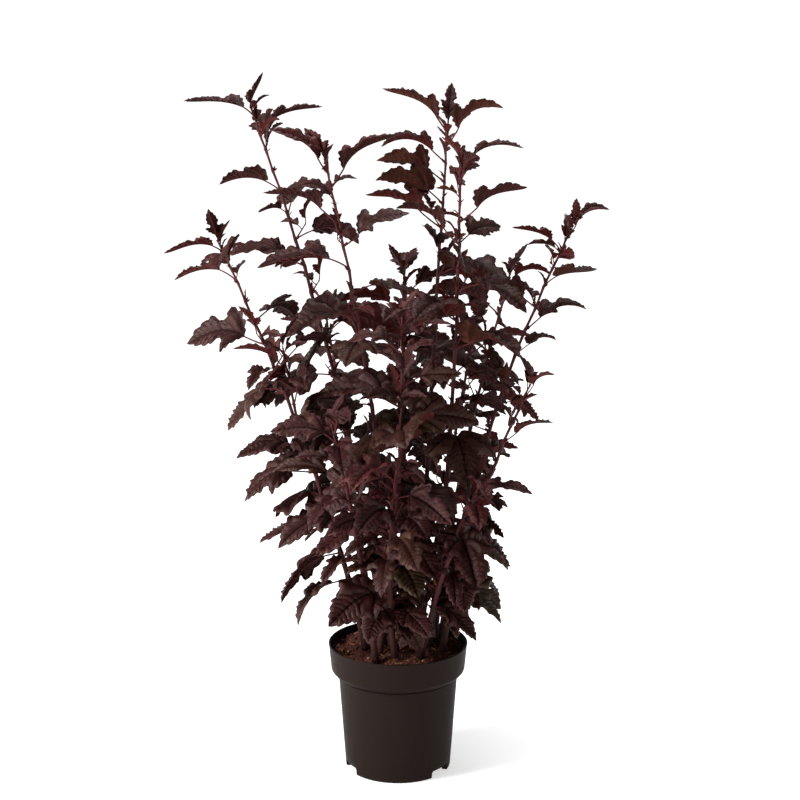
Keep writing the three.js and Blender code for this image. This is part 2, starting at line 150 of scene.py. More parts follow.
def turned(profile: Sequence[tuple[float, Any]], angles: np.ndarray) -> PointsAndFaces:
    """Turn a section round the upright axis.

    Args:
        profile: the radius of each ring with its height, or with one for each corner.
        angles: compass angles of the corners.

    Returns:
        Points, and the triangles that have an area.
    """
    around = np.stack([np.cos(angles), np.sin(angles)], -1)
    points = np.concatenate([
        np.column_stack([radius * around, np.broadcast_to(height, len(angles))])
        for radius, height in profile])
    faces = skin(len(profile), len(angles))
    a, b, c = (points[faces[:, k]] for k in range(3))
    return points, faces[np.linalg.norm(np.cross(b - a, c - a), axis=1) > 1e-9]


def tube(points: np.ndarray, radii: np.ndarray, sides: int) -> PointsAndFaces:
    """Lay rings along a course and close both ends.

    Args:
        points: the course, one row for each ring.
        radii: one radius for each ring, or one for each ring and side.
        sides: number of sides.

    Returns:
        Points and triangles.
    """
    along = headings(points)
    least = np.eye(3)[np.argmin(np.abs(along.mean(axis=0)))]
    across = np.cross(least, along)
    across /= np.linalg.norm(across, axis=1, keepdims=True)
    other = np.cross(along, across)
    angles = circle(sides)
    spread = radii[:, None] if radii.ndim == 1 else radii
    rings = (points[:, None] + (spread * np.cos(angles))[..., None] * across[:, None]
             + (spread * np.sin(angles))[..., None] * other[:, None])
    corners = np.concatenate([rings.reshape(-1, 3), points[:1], points[-1:]])
    here = np.arange(sides)
    ahead = (here + 1) % sides
    foot = len(points) * sides
    last = foot - sides
    start_cap = np.stack([np.full(sides, foot), ahead, here], -1)
    end_cap = np.stack([np.full(sides, foot + 1), last + here, last + ahead], -1)
    return corners, np.concatenate([skin(len(points), sides), start_cap, end_cap])


class Wire:
    """An output socket that can be used in sums."""

    def __init__(self, sheet: "NodeSheet", socket: bpy.types.NodeSocket) -> None:
        """Keep the socket and the sheet that new nodes go on."""
        self.sheet = sheet
        self.socket = socket

    def _math(self, operation: str, first: Any, second: Any) -> "Wire":
        """Add one Math node to two wires or numbers."""
        return self.sheet.node("ShaderNodeMath", {"operation": operation}, {0: first, 1: second})

    def __add__(self, other: Any) -> "Wire":
        """Sum of the two."""
        return self._math("ADD", self, other)

    def __mul__(self, other: Any) -> "Wire":
        """Product of the two."""
        return self._math("MULTIPLY", self, other)

    def __sub__(self, other: Any) -> "Wire":
        """This less the other."""
        return self._math("SUBTRACT", self, other)

    def __rsub__(self, other: Any) -> "Wire":
        """The other less this."""
        return self._math("SUBTRACT", other, self)

    __radd__ = __add__
    __rmul__ = __mul__


class NodeSheet:
    """The nodes of one material."""

    def __init__(self, name: str) -> None:
        """Start an empty material with one Principled shader.

        Args:
            name: the material's name.
        """
        self.material = bpy.data.materials.new(name)
        self.material.use_nodes = True
        self.tree = self.material.node_tree
        self.tree.nodes.clear()
        self.shader = self.tree.nodes.new("ShaderNodeBsdfPrincipled")
        output = self.tree.nodes.new("ShaderNodeOutputMaterial")
        self.tree.links.new(self.shader.outputs[0], output.inputs[0])

    def node(self, kind: str, settings: dict[str, Any] | None = None,
             values: dict[Any, Any] | None = None, output: Any = 0) -> Wire:
        """Add a node, make its settings, then fill its sockets.

        Args:
            kind: the node's type name.
            settings: its properties, such as an operation.
            values: numbers, colours or wires by socket name or index.
            output: name or index of the output that is wanted.

        Returns:
            That output.
        """
        made = self.tree.nodes.new(kind)
        for key, setting in (settings or {}).items():
            setattr(made, key, setting)
        for key, value in (values or {}).items():
            self.fill(made.inputs[key], value)
        return Wire(self, made.outputs[output])

    def fill(self, socket: bpy.types.NodeSocket, value: Any) -> None:
        """Link a wire to a socket, or set its number or colour.

        Args:
            socket: the socket.
            value: a wire, number or colour.
        """
        if isinstance(value, Wire):
            self.tree.links.new(value.socket, socket)
        else:
            socket.default_value = value

    def set(self, **values: Any) -> None:
        """Fill sockets of the Principled shader, with _ for each space in a name."""
        for key, value in values.items():
            self.fill(self.shader.inputs[key.replace("_", " ")], value)

    def place(self) -> Wire:
        """Coordinates in metres that stay with the piece."""
        return self.node("ShaderNodeTexCoord", output="Object")

    def noise(self, scale: float, detail: float = 3.0,
              stretch: Sequence[float] = (1, 1, 1)) -> Wire:
        """Soft noise from 0 to 1.

        Args:
            scale: waves for each metre.
            detail: how many finer layers it has.
            stretch: factors on the three directions.

        Returns:
            The noise.
        """
        spread = self.node("ShaderNodeMapping", None, {"Vector": self.place(), "Scale": stretch})
        return self.node("ShaderNodeTexNoise", None,
                         {"Vector": spread, "Scale": scale, "Detail": detail})

    def cells(self, scale: float) -> Wire:
        """Distance to the nearest edge between irregular cells, so many for each metre."""
        return self.node("ShaderNodeTexVoronoi", {"feature": "DISTANCE_TO_EDGE"},
                         {"Vector": self.place(), "Scale": scale})

    def ramp(self, factor: Wire, low: float, high: float) -> Wire:
        """Stretch a wire so that low becomes 0 and high becomes 1, with both ends held."""
        return self.node("ShaderNodeMapRange", {"clamp": True},
                         {"Value": factor, "From Min": low, "From Max": high})

    def mix(self, factor: Any, first: Any, second: Any) -> Wire:
        """Mix two colours, where a factor of 0 gives the first."""
        return self.node("ShaderNodeMix", {"data_type": "RGBA"},
                         {0: factor, 6: first, 7: second}, output=2)

    def bump(self, height: Wire, strength: float, distance: float) -> None:
        """Give the shader a relief of a strength from 0 to 1 and a depth in metres."""
        self.set(Normal=self.node("ShaderNodeBump", None,
                                  {"Strength": strength, "Distance": distance, "Height": height}))


@dataclass(frozen=True)
class Finish:
    """A finish with a name and a main colour."""

    name: str
    colour: Rgb

    def dress(self, sheet: NodeSheet) -> None:
        """Draw the finish on the nodes of its material."""
        raise NotImplementedError

    def shade(self, factor: float) -> tuple[float, float, float, float]:
        """Give the main colour, darker or lighter, for the shader."""
        return linear([factor * channel for channel in self.colour])


@lru_cache(maxsize=None)
def material_of(finish: Finish) -> bpy.types.Material:
    """Make the material of a finish, once.

    Args:
        finish: the finish.

    Returns:
        Its material.
    """
    sheet = NodeSheet(finish.name)
    finish.dress(sheet)
    return sheet.material


@dataclass(frozen=True)
class LeafFinish(Finish):
    """One side of a leaf blade: a plain colour with soft mottling and a fine net of veins."""

    mottle: Rgb
    roughness: float = 0.42
    gloss: float = 0.28
    net: float = 0.35

    def dress(self, sheet: NodeSheet) -> None:
        """Draw the mottling, the darker lines of the net and their relief.

        Args:
            sheet: the nodes of its material.
        """
        patches = sheet.ramp(sheet.noise(55.0), 0.3, 0.75)
        net = sheet.ramp(sheet.cells(420.0), 0.0, 0.12)
        tint = sheet.mix(patches, linear(self.colour), linear(self.mottle))
        sheet.set(
            Base_Color=sheet.mix(net, self.shade(0.72), tint),
            Roughness=self.roughness + 0.14 * sheet.noise(140.0, 2.0) - 0.04 * net,
            Specular_IOR_Level=self.gloss,
            Specular_Tint=(1.0, 0.8, 0.76, 1.0),
        )
        sheet.bump(net + 0.5 * sheet.noise(900.0, 2.0), self.net, 0.0004)


@dataclass(frozen=True)
class BarkFinish(Finish):
    """Smooth young bark or a leaf stalk, with fine lines along it."""

    fleck: Rgb
    roughness: float = 0.5
    lines: float = 0.4

    def dress(self, sheet: NodeSheet) -> None:
        """Draw patches, pale specks and lines that run up the cane.

        Args:
            sheet: the nodes of its material.
        """
        lines = sheet.noise(700.0, 4.0, (1.0, 1.0, 0.09))
        specks = sheet.ramp(sheet.noise(420.0, 1.0, (1.0, 1.0, 0.6)), 0.62, 0.72)
        patches = sheet.ramp(sheet.noise(60.0, 3.0, (1.0, 1.0, 0.35)), 0.35, 0.7)
        tint = sheet.mix(patches, linear(self.colour), linear(self.fleck))
        pale = linear([1.5 * channel for channel in self.fleck])
        sheet.set(
            Base_Color=sheet.mix(0.35 * specks, tint, pale),
            Roughness=self.roughness + 0.25 * lines,
            Specular_IOR_Level=0.25,
        )
        sheet.bump(lines + 0.5 * specks, self.lines, 0.0005)


@dataclass(frozen=True)
class PlasticFinish(Finish):
    """Matt moulded plastic with a fine grain, upright lighter streaks and faint scuffs."""

    dust: Rgb
    roughness: float = 0.46

    def dress(self, sheet: NodeSheet) -> None:
        """Draw the grain, upright streaks and dusty scuffs.

        Args:
            sheet: the nodes of its material.
        """
        grain = sheet.noise(2600.0, 2.0)
        streaks = sheet.noise(45.0, 4.0, (1.0, 1.0, 0.16))
        scuffs = sheet.ramp(sheet.noise(24.0, 6.0, (1.0, 1.0, 0.5)), 0.52, 0.82)
        # Upright streaks and scuffs both mix the colour towards the paler dust colour.
        streaks_and_scuffs = 0.3 * scuffs + 0.18 * streaks
        sheet.set(
            Base_Color=sheet.mix(streaks_and_scuffs, linear(self.colour), linear(self.dust)),
            Roughness=self.roughness + 0.16 * streaks + 0.1 * scuffs,
            Specular_IOR_Level=0.05,
        )
        sheet.bump(grain + 0.6 * streaks, 0.16, 0.0003)


@dataclass(frozen=True)
class EarthFinish(Finish):
    """Moist peat, coir or straw, rough and uneven."""

    light: Rgb
    roughness: float = 0.88

    def dress(self, sheet: NodeSheet) -> None:
        """Draw crumbs of two colours and fibres across them.

        Args:
            sheet: the nodes of its material.
        """
        crumbs = sheet.noise(340.0, 6.0)
        fibres = sheet.noise(900.0, 3.0, (0.25, 1.0, 1.0))
        dry = sheet.ramp(crumbs, 0.38, 0.68)
        sheet.set(
            Base_Color=sheet.mix(dry, linear(self.colour), linear(self.light)),
            Roughness=self.roughness + 0.1 * fibres,
        )
        sheet.bump(crumbs + 0.4 * fibres, 0.7, 0.0015)


@dataclass(frozen=True)
class FloorFinish(Finish):
    """Pale studio floor that glows softly, more so away from the lamps. Distances in metres."""

    near_glow: float
    far_glow: float
    near: float = 0.28
    far: float = 1.4

    def dress(self, sheet: NodeSheet) -> None:
        """Let the glow grow with the distance from the plant.

        Args:
            sheet: the nodes of its material.
        """
        distance = sheet.node("ShaderNodeVectorMath", {"operation": "LENGTH"},
                              {0: sheet.place()}, output="Value")
        away = sheet.ramp(distance, self.near, self.far)
        near, far = (tuple([glow] * 3 + [1.0]) for glow in (self.near_glow, self.far_glow))
        sheet.set(
            Base_Color=linear(self.colour),
            Roughness=0.8 + 0.15 * sheet.noise(30.0, 2.0),
            Emission_Color=sheet.mix(away, near, far),
            Emission_Strength=1.0,
        )


class Tint(Enum):
    """Colours that are dealt out leaf by leaf."""

    DUSK = LeafFinish("leaf_dusk", (56, 23, 20), (42, 17, 14))
    PLUM = LeafFinish("leaf_plum", (67, 29, 28), (49, 21, 20))
    UMBER = LeafFinish("leaf_umber", (62, 31, 22), (46, 23, 16))
    OLIVE = LeafFinish("leaf_olive", (60, 42, 22), (44, 31, 17))
    GARNET = LeafFinish("leaf_garnet", (78, 26, 25), (58, 20, 19), 0.42)
    COPPER = LeafFinish("leaf_copper", (116, 56, 27), (84, 36, 22), 0.42)
    UNDER_RED = LeafFinish("underside_red", (80, 23, 19), (58, 17, 14), 0.56, 0.2, 0.5)
    # A dark underside, dealt out more often the deeper a leaf grows below the tip: partly random
    # tone, partly painted shade of the crown.
    UNDER_DARK = LeafFinish("underside_dark", (52, 21, 19), (40, 16, 14), 0.6, 0.2, 0.5)
    UNDER_COPPER = LeafFinish("underside_copper", (74, 35, 20), (52, 26, 16), 0.58, 0.2, 0.5)
    # Wine red of the top veins, darkened as painted shade of their sunk grooves.
    VEIN = LeafFinish("vein_wine", (36, 9, 11), (29, 7, 9), 0.6, 0.15, 0.1)
    RIB = LeafFinish("vein_red", (80, 27, 24), (66, 22, 20), 0.55, 0.2, 0.1)


class Wood(Enum):
    """Barks of the canes, from the foot up, and of the stalks."""

    OLD = BarkFinish("bark_old", (56, 25, 22), (41, 18, 16), 0.66, 0.8)
    GROWN = BarkFinish("bark_grown", (74, 22, 25), (52, 17, 19), 0.56, 0.5)
    YOUNG = BarkFinish("bark_young", (82, 24, 26), (60, 19, 21), 0.5, 0.25)
    STALK = BarkFinish("leaf_stalk", (86, 25, 26), (64, 20, 21), 0.48, 0.15)


class Earth(Enum):
    """What the potting soil is made of."""

    PEAT = EarthFinish("soil_peat", (50, 20, 11), (84, 36, 18))
    COIR = EarthFinish("soil_coir", (108, 45, 22), (136, 65, 34))
    STRAW = EarthFinish("soil_straw", (184, 140, 96), (150, 102, 64))


class PotFinish(Enum):
    """Finish of the pot."""

    WALL = PlasticFinish("pot_plastic", (29, 20, 17), (40, 30, 26))


class StageFinish(Enum):
    """Finish of what the plant stands on."""

    FLOOR = FloorFinish("floor_pale", (232, 232, 232), 0.6, 0.9)


def slot_of(option: Enum) -> int:
    """Give the material slot of a finish, which is its place in its Enum."""
    return list(type(option)).index(option)


def stood(name: str, data: Any) -> bpy.types.Object:
    """Make an object and put it into the scene.

    Args:
        name: its name.
        data: its mesh, light or camera.

    Returns:
        The object.
    """
    made = bpy.data.objects.new(name, data)
    bpy.context.scene.collection.objects.link(made)
    return made


@dataclass
class MeshBatch:
    """Gathers many small meshes, in metres or else in millimetres from the pot's foot."""

    name: str
    metres: bool = False
    points: list[np.ndarray] = field(default_factory=list)
    faces: list[np.ndarray] = field(default_factory=list)
    slots: list[np.ndarray] = field(default_factory=list)
    creases: list[np.ndarray] = field(default_factory=list)
    count: int = 0

    def add(self, shape: PointsAndFaces, slot: Enum | np.ndarray,
            creases: np.ndarray | None = None) -> None:
        """Add one mesh.

        Args:
            shape: its points and triangles.
            slot: the finish of all its faces, or the slot number of each.
            creases: pairs of corners whose edge stays sharp.
        """
        points, faces = shape
        if creases is not None:
            self.creases.append(creases + self.count)
        self.points.append(points if self.metres else points * MM + FOOT)
        self.faces.append(faces + self.count)
        self.slots.append(np.full(len(faces), slot_of(slot)) if isinstance(slot, Enum) else slot)
        self.count += len(points)

    def build(self, finishes: type[Enum], smooth: bool = True) -> bpy.types.Object:
        """Join everything into one object.

        Args:
            finishes: the finishes, one for each slot in order.
            smooth: whether faces shade smoothly into each other.

        Returns:
            The object.
        """
        points = np.concatenate(self.points)
        faces = np.concatenate(self.faces).astype(np.int32)
        used, places = np.unique(np.concatenate(self.slots), return_inverse=True)
        mesh = bpy.data.meshes.new(self.name)
        mesh.vertices.add(len(points))
        mesh.vertices.foreach_set("co", points.astype(np.float32).ravel())
        mesh.loops.add(3 * len(faces))
        mesh.loops.foreach_set("vertex_index", faces.ravel())
        mesh.polygons.add(len(faces))
        mesh.polygons.foreach_set("loop_start", np.arange(0, 3 * len(faces), 3, dtype=np.int32))
        for index in used:
            mesh.materials.append(material_of(list(finishes)[index].value))
        mesh.polygons.foreach_set("material_index", places.astype(np.int32))
        mesh.polygons.foreach_set("use_smooth", np.full(len(faces), smooth))
        mesh.update(calc_edges=True)
        mesh.validate()
        if self.creases:
            self._sharpen(mesh)
        return stood(self.name, mesh)

    def _sharpen(self, mesh: bpy.types.Mesh) -> None:
        """Mark the edges of the creases as sharp.

        Args:
            mesh: the joined mesh.
        """
        ends = np.empty(2 * len(mesh.edges), dtype=np.int32)
        mesh.edges.foreach_get("vertices", ends)
        keys, wanted = (np.sort(pairs.reshape(-1, 2).astype(np.int64), axis=1)
                        @ np.array([self.count, 1]) for pairs in
                        (ends, np.concatenate(self.creases)))
        layer = mesh.attributes.new("sharp_edge", "BOOLEAN", "EDGE")
        layer.data.foreach_set("value", np.isin(keys, wanted))


class SeededNumbers:
    """Numbers from 0 to 1, always the same for the same seed."""

    factor = 1664525
    addend = 1013904223
    span = 2 ** 32

    def __init__(self, seed: int) -> None:
        """Start at a seed."""
        self.state = seed

    def __call__(self) -> float:
        """Give the next number."""
        self.state = (self.state * self.factor + self.addend) % self.span
        return self.state / self.span


@dataclass(frozen=True)
class BowedPath:
    """A quadratic curve from a foot to a tip."""

    foot: np.ndarray
    middle: np.ndarray
    tip: np.ndarray

    @classmethod
    def between(cls, foot: Sequence[float], tip: Sequence[float],
                bow: tuple[float, float]) -> "BowedPath":
        """Make the path whose middle bows sideways from the straight line."""
        foot, tip = np.array(foot, float), np.array(tip, float)
        return cls(foot, (foot + tip) / 2 + 2 * np.array([*bow, 0.0]), tip)

    def point(self, share: Any) -> np.ndarray:
        """Give the point, or points, at one or more shares of the path."""
        s = np.asarray(share, dtype=float)[..., None]
        return (1 - s) ** 2 * self.foot + 2 * (1 - s) * s * self.middle + s ** 2 * self.tip

    def length(self) -> float:
        """Measure the path along 200 straight stretches."""
        line = self.point(np.arange(201) / 200)
        return float(np.linalg.norm(np.diff(line, axis=0), axis=1).sum())


@dataclass(frozen=True)
class StemPlan:
    """One cane or branch: where it runs and how its leaves stand.

    bare is the share of its length below the first leaf. droop says how much its leaves hang,
    pitch scales the distance between its nodes, size scales its leaves, and filling says how
    much small growth stands between them. leaves gives the side of each node's leaf from the tip
    down: left, right, front or back, a capital for a large leaf and a dot where it has dropped.
    """

    name: str
    foot: tuple[float, float]
    tip: tuple[float, float, float]
    bow: tuple[float, float]
    bare: float
    leaves: str
    droop: float = 0.0
    pitch: float = 1.0
    size: float = 1.0
    filling: float = 0.6


CANES = (
    StemPlan("left_tall", (-20, 14), (-195, 60, 899), (23, 4), 0.22, "LRb.lbrL.RflflrFl", 0.1,
             filling=0.15),
    StemPlan("left_middle", (-8, -6), (-94, -40, 840), (17, 0), 0.2, "LR.LrlrlfrlfbFf",
             filling=0.3),
    StemPlan("left_outer", (-44, -4), (-235, -20, 733), (18, -4), 0.1, "lfL.RLrlrlLRLfL", 0.6,
             filling=0.2),
    StemPlan("front_centre", (-26, -26), (5, -150, 655), (10, 14), 0.2, "frlFrlrFLFflfr",
             0.25, 0.9, filling=1.0),
    StemPlan("right_tall", (30, 26), (67, 80, 884), (-3, 0), 0.22, "LRlLlLfFFlbfflfr",
             filling=0.3),
    StemPlan("right_middle", (42, 2), (80, -30, 842), (10, 0), 0.2, "RfbRlfRlFbfFllf",
             filling=0.8),
    StemPlan("right_outer", (58, 14), (232, 30, 746), (-26, 0), 0.2, "rlfrlrrbfl.lbf",
             size=0.85, filling=0.4),
    StemPlan("right_back", (50, 36), (156, 130, 668), (-12, -10), 0.2, "rlLfflbbflfbf",
             size=0.9, filling=0.5),
    StemPlan("right_low", (60, -16), (170, -90, 556), (-14, 6), 0.16, "rlfrl.FlFfb", 0.15,
             size=0.8, filling=0.7),
    StemPlan("front_low", (-4, -44), (-2, -172, 462), (-8, 12), 0.12, "FlrFlrfFbr", 0.45, 0.85,
             filling=1.0),
    StemPlan("front_right", (30, -40), (104, -134, 436), (-6, 10), 0.12, "flFrFlfbl", 0.4, 0.85,
             filling=1.0),
    StemPlan("front_left", (-30, -52), (-84, -150, 520), (4, 10), 0.14, "flFrLfFrf", 0.35, 0.85,
             filling=0.2),
    StemPlan("back_left", (-34, 44), (-104, 178, 612), (4, -12), 0.18, "brlbfrblrbr", 0.2,
             filling=0.3),
    StemPlan("back_centre", (4, 50), (8, 186, 660), (2, -14), 0.18, "brlbfrlbrlbr", 0.15),
    StemPlan("back_right", (30, 62), (112, 196, 600), (0, -12), 0.18, "blrbfrblrb", 0.2,
             filling=0.5),
)
BRANCH = StemPlan("branch", (0, 0), (-148, -62, 598), (-3, 0), 0.2, "rllfrbl", filling=0.2)
BRANCH_FROM = ("left_outer", 0.5)
# The canes start this far above the solid soil
CLEARANCE = 0.3


class Side(Enum):
    """Compass angle in degrees of each side, as someone in front of the plant names it."""

    RIGHT = 0
    BACK = 90
    LEFT = 180
    FRONT = -90

    @classmethod
    def of(cls, letter: str) -> "Side":
        """Give the side whose name starts with a letter."""
        return next(side for side in cls if side.name[0] == letter.upper())


@dataclass(frozen=True)
class Pose:
    """Angles in degrees of a leaf: its stalk, the blade's root and tip, and its fold."""

    stalk: float
    root: float
    tip: float
    fold: float

    def towards(self, other: "Pose", share: float) -> "Pose":
        """Mix with another pose."""
        return Pose(*(a + (b - a) * share for a, b in zip(astuple(self), astuple(other))))


LIT = Pose(36, 22, -26, 32)
SHADED = Pose(6, -26, -74, 12)
BUDDING = Pose(74, 66, 30, 38)


class Kind(Enum):
    """Where a leaf stands."""

    ROSETTE = "rosette"
    NODE = "node"
    SHOOT = "shoot"
    FILLING = "filling"
    AXIL = "axil"


YOUNG_KINDS = (Kind.ROSETTE, Kind.SHOOT, Kind.AXIL)


@dataclass
class GrownLeaf:
    """A leaf that has found its place. Millimetres and radians."""

    start: np.ndarray
    turn: float
    length: float
    stalk: float
    pose: Pose
    roll: float
    depth: float
    kind: Kind
    large: bool = False

    def __post_init__(self) -> None:
        """Work out the directions that the leaf is laid along."""
        self.out = compass(self.turn)
        self.side = np.cross(UP, self.out)
        self.root = self.start + self.rise(self.pose.stalk) * self.stalk

    def rise(self, angle: Any) -> np.ndarray:
        """Give the direction that rises by an angle, or by several, on the leaf's side."""
        a = np.asarray(angle, dtype=float)[..., None]
        return np.cos(a) * self.out + np.sin(a) * UP

    def blade_points(self, spots: np.ndarray) -> np.ndarray:
        """Give points on the flat-folded blade.

        Args:
            spots: rows of share of the length along the midrib and across it.

        Returns:
            One point for each row.
        """
        share, across = spots[:, 0], spots[:, 1]
        steps = (np.arange(6) + 0.5) / 6
        arch = (self.pose.tip - self.pose.root) * share
        angles = self.pose.root + arch[:, None] * steps
        spine = self.root + (self.rise(angles) * (self.length * share / 6)[:, None, None]).sum(1)
        normal = self.rise(self.pose.root + arch + math.pi / 2)
        tilt = self.roll + np.sign(across) * self.pose.fold
        reach = (across * self.length)[:, None]
        return spine + reach * (np.cos(tilt)[:, None] * self.side + np.sin(tilt)[:, None] * normal)


@dataclass(frozen=True)
class Twig:
    """A thin straight shoot, in millimetres."""

    start: np.ndarray
    tip: np.ndarray
    radius: float

    @classmethod
    def rising(cls, start: np.ndarray, turn: float, rise: float, length: float,
               radius: float) -> "Twig":
        """Make the twig that leaves a place at a compass angle and a rise, both in radians."""
        towards = math.cos(rise) * compass(turn) + math.sin(rise) * UP
        return cls(start, start + length * towards, radius)

    def point(self, share: Any) -> np.ndarray:
        """Give the point, or points, at one or more shares of its length."""
        return self.start + (self.tip - self.start) * share


@dataclass
class Stem:
    """A cane or branch that leaves grow on."""

    plan: StemPlan
    path: BowedPath
    index: int
    first_depth: float = 18.0
    least_step: float = 15
    more_step: float = 26
    step_reach: float = 110
    spiral: float = 137
    shade_from: float = 50
    shade_over: float = 340
    leaves: list[GrownLeaf] = field(default_factory=list)
    twigs: list[Twig] = field(default_factory=list)
    random: SeededNumbers = field(default_factory=lambda: SeededNumbers(0))

    def __post_init__(self) -> None:
        """Measure the stem and find its nodes."""
        self.length = self.path.length()
        self.line = self.path.point(np.arange(17) / 16)
        self.depths = []
        depth = self.first_depth
        for _ in self.plan.leaves:
            self.depths.append(depth)
            opening = 1 - math.exp(-depth / self.step_reach)
            depth += self.plan.pitch * (self.least_step + self.more_step * opening)

    def reseed(self, first: int, step: int) -> SeededNumbers:
        """Start the stem's seeded numbers anew and give them."""
        self.random = SeededNumbers(first + step * self.index)
        return self.random

    def facing(self, index: int) -> float:
        """Give the compass angle in radians of the leaf, or of its scar, at a node."""
        mark = self.plan.leaves[index]
        return math.radians(self.spiral * index if mark == "." else Side.of(mark).value)

    def below(self, depth: float) -> np.ndarray:
        """Give the point that lies a distance below the tip."""
        return self.path.point(1 - depth / self.length)

    def shade(self, depth: float, most: float) -> float:
        """Say how shaded a leaf stands at a distance below the tip."""
        return min(max((depth - self.shade_from) / self.shade_over + self.plan.droop, 0), most)


@dataclass
class Room:
    """The space that one blade or stalk keeps to itself."""

    points: np.ndarray
    reach: float
    stem: int

    def __post_init__(self) -> None:
        """Find the ball around it."""
        self.middle = self.points.mean(axis=0)
        self.spread = float(np.linalg.norm(self.points - self.middle, axis=1).max()) + self.reach


@dataclass
class Growth:
    """Grows the plant by the rule of its solids, then carries it on to finer shoots.

    spots are the places on a blade whose room is tested. tries are the extra turns and nods, in
    degrees, that a leaf tries one after another. Seeds are a first one and a step for each stem.
    """

    soil_top: float
    first_turn: float = 40
    turn_step: float = 97
    rosette_blade: float = 34
    rosette_stalk: float = 7
    least_blade: float = 36
    more_blade: float = 44
    blade_reach: float = 14
    large_blade: float = 1.12
    node_stalk: float = 0.38
    shoot_from: float = 130
    shoot_share: float = 0.4
    shoot_length: float = 24
    shoot_rise: float = 52
    shoot_blade: float = 40
    shoot_stalk: float = 9.5
    blade_room: float = 0.085
    stalk_room: float = 3.5
    cane_room: float = 3.5
    own_cane_room: float = 5
    rim_reach: float = 84
    stems: list[Stem] = field(default_factory=list)
    rooms: list[Room] = field(default_factory=list)

    rule_seeds = (1000, 77)
    fill_seeds = (9000, 131)
    foot_seeds = (5000, 57)
    spots = np.array([
        (0.04, 0), (0.14, 0.15), (0.14, -0.15), (0.28, 0), (0.28, 0.17), (0.28, -0.17),
        (0.28, 0.35), (0.28, -0.35), (0.45, 0.1), (0.45, -0.1), (0.45, 0.29), (0.45, -0.29),
        (0.62, 0), (0.62, 0.21), (0.62, -0.21), (0.78, 0.08), (0.78, -0.08), (0.95, 0),
    ])
    tries = (
        (0, 0), (18, 0), (-18, 0), (0, 16), (0, -16), (36, 8), (-36, -8), (36, -12), (-36, 12),
        (58, 0), (-58, 0), (80, 10), (-80, -10), (110, 0), (-110, 0), (150, 0),
    )

    def __post_init__(self) -> None:
        """Lay out the canes in order, and the branch last."""
        for plan in CANES:
            path = BowedPath.between([*plan.foot, self.soil_top], plan.tip, plan.bow)
            self.stems.append(Stem(plan, path, len(self.stems)))
        parent = next(stem for stem in self.stems if stem.plan.name == BRANCH_FROM[0])
        path = BowedPath.between(parent.path.point(BRANCH_FROM[1]), BRANCH.tip, BRANCH.bow)
        self.stems.append(Stem(BRANCH, path, len(self.stems)))

    def meets(self, room: Room, skip: int | None = None) -> bool:
        """Say whether a blade or stalk meets one that stands already.

        Args:
            room: the space it needs.
            skip: a stem whose own pieces may be met.

        Returns:
            True where it meets one.
        """
        if not self.rooms:
            return False
        middles = np.array([other.middle for other in self.rooms])
        spreads = np.array([other.spread for other in self.rooms])
        near = np.linalg.norm(middles - room.middle, axis=1) <= spreads + room.spread
        for other in (self.rooms[index] for index in np.nonzero(near)[0]):
            apart = np.linalg.norm(other.points[:, None] - room.points[None], axis=2)
            if other.stem != skip and (apart < other.reach + room.reach).any():
                return True
        return False

    def stalk_space(self, start: np.ndarray, end: np.ndarray, stem: Stem,
                    tightness: float = 1.0) -> Room:
        """Give the space of a stalk or twig from start to end."""
        shares = np.array([[0.35], [0.7], [1.0]])
        return Room(start + (end - start) * shares, self.stalk_room * tightness, stem.index)

    def place_leaf(self, stem: Stem, start: np.ndarray, turn: float, length: float, stalk: float,
                   pose: Pose, depth: float, kind: Kind,
                   tightness: float = 1.0) -> GrownLeaf | None:
        """Try a leaf at its own side and then turned further and further.

        Args:
            stem: the stem it grows on.
            start: where its stalk leaves the stem.
            turn: the compass angle it should face, in radians.
            length: its blade before the seeded change.
            stalk: its stalk, as a share of its blade.
            pose: its angles in degrees.
            depth: its distance below the tip.
            kind: where it stands.
            tightness: share of the usual room that it keeps.

        Returns:
            The leaf, or nothing where no place is clear.
        """
        sway = math.radians((stem.random() - 0.5) * 44)
        size = length * (0.86 + 0.28 * stem.random())
        nod = (stem.random() - 0.5) * 20
        roll = math.radians((stem.random() - 0.5) * 36)
        cane = self.cane_room * tightness
        for extra_turn, extra_nod in self.tries:
            lift = nod + extra_nod
            angles = (pose.stalk + 0.5 * lift, pose.root + lift, pose.tip + lift, pose.fold)
            leaf = GrownLeaf(start, turn + sway + math.radians(extra_turn), size, stalk * length,
                             Pose(*map(math.radians, angles)), roll, depth, kind)
            blade = Room(leaf.blade_points(self.spots), tightness * self.blade_room * size,
                         stem.index)
            neck = self.stalk_space(leaf.start, leaf.root, stem, tightness)
            if self.meets(blade) or self.meets(neck, stem.index):
                continue
            if (gaps(blade.points, stem.line) < tightness * self.own_cane_room).any():
                continue
            if any((gaps(room.points, other.line) < room.reach + cane).any()
                   for other in self.stems if other is not stem for room in (blade, neck)):
                continue
            self.rooms += [blade, neck]
            return leaf
        return None

    def add_leaf(self, stem: Stem, *wish: Any) -> GrownLeaf | None:
        """Place a leaf as place_leaf does, and keep it on its stem.

        Args:
            stem: the stem it grows on.
            wish: what else place_leaf takes.

        Returns:
            The leaf, or nothing where no place is clear.
        """
        leaf = self.place_leaf(stem, *wish)
        if leaf:
            stem.leaves.append(leaf)
        return leaf

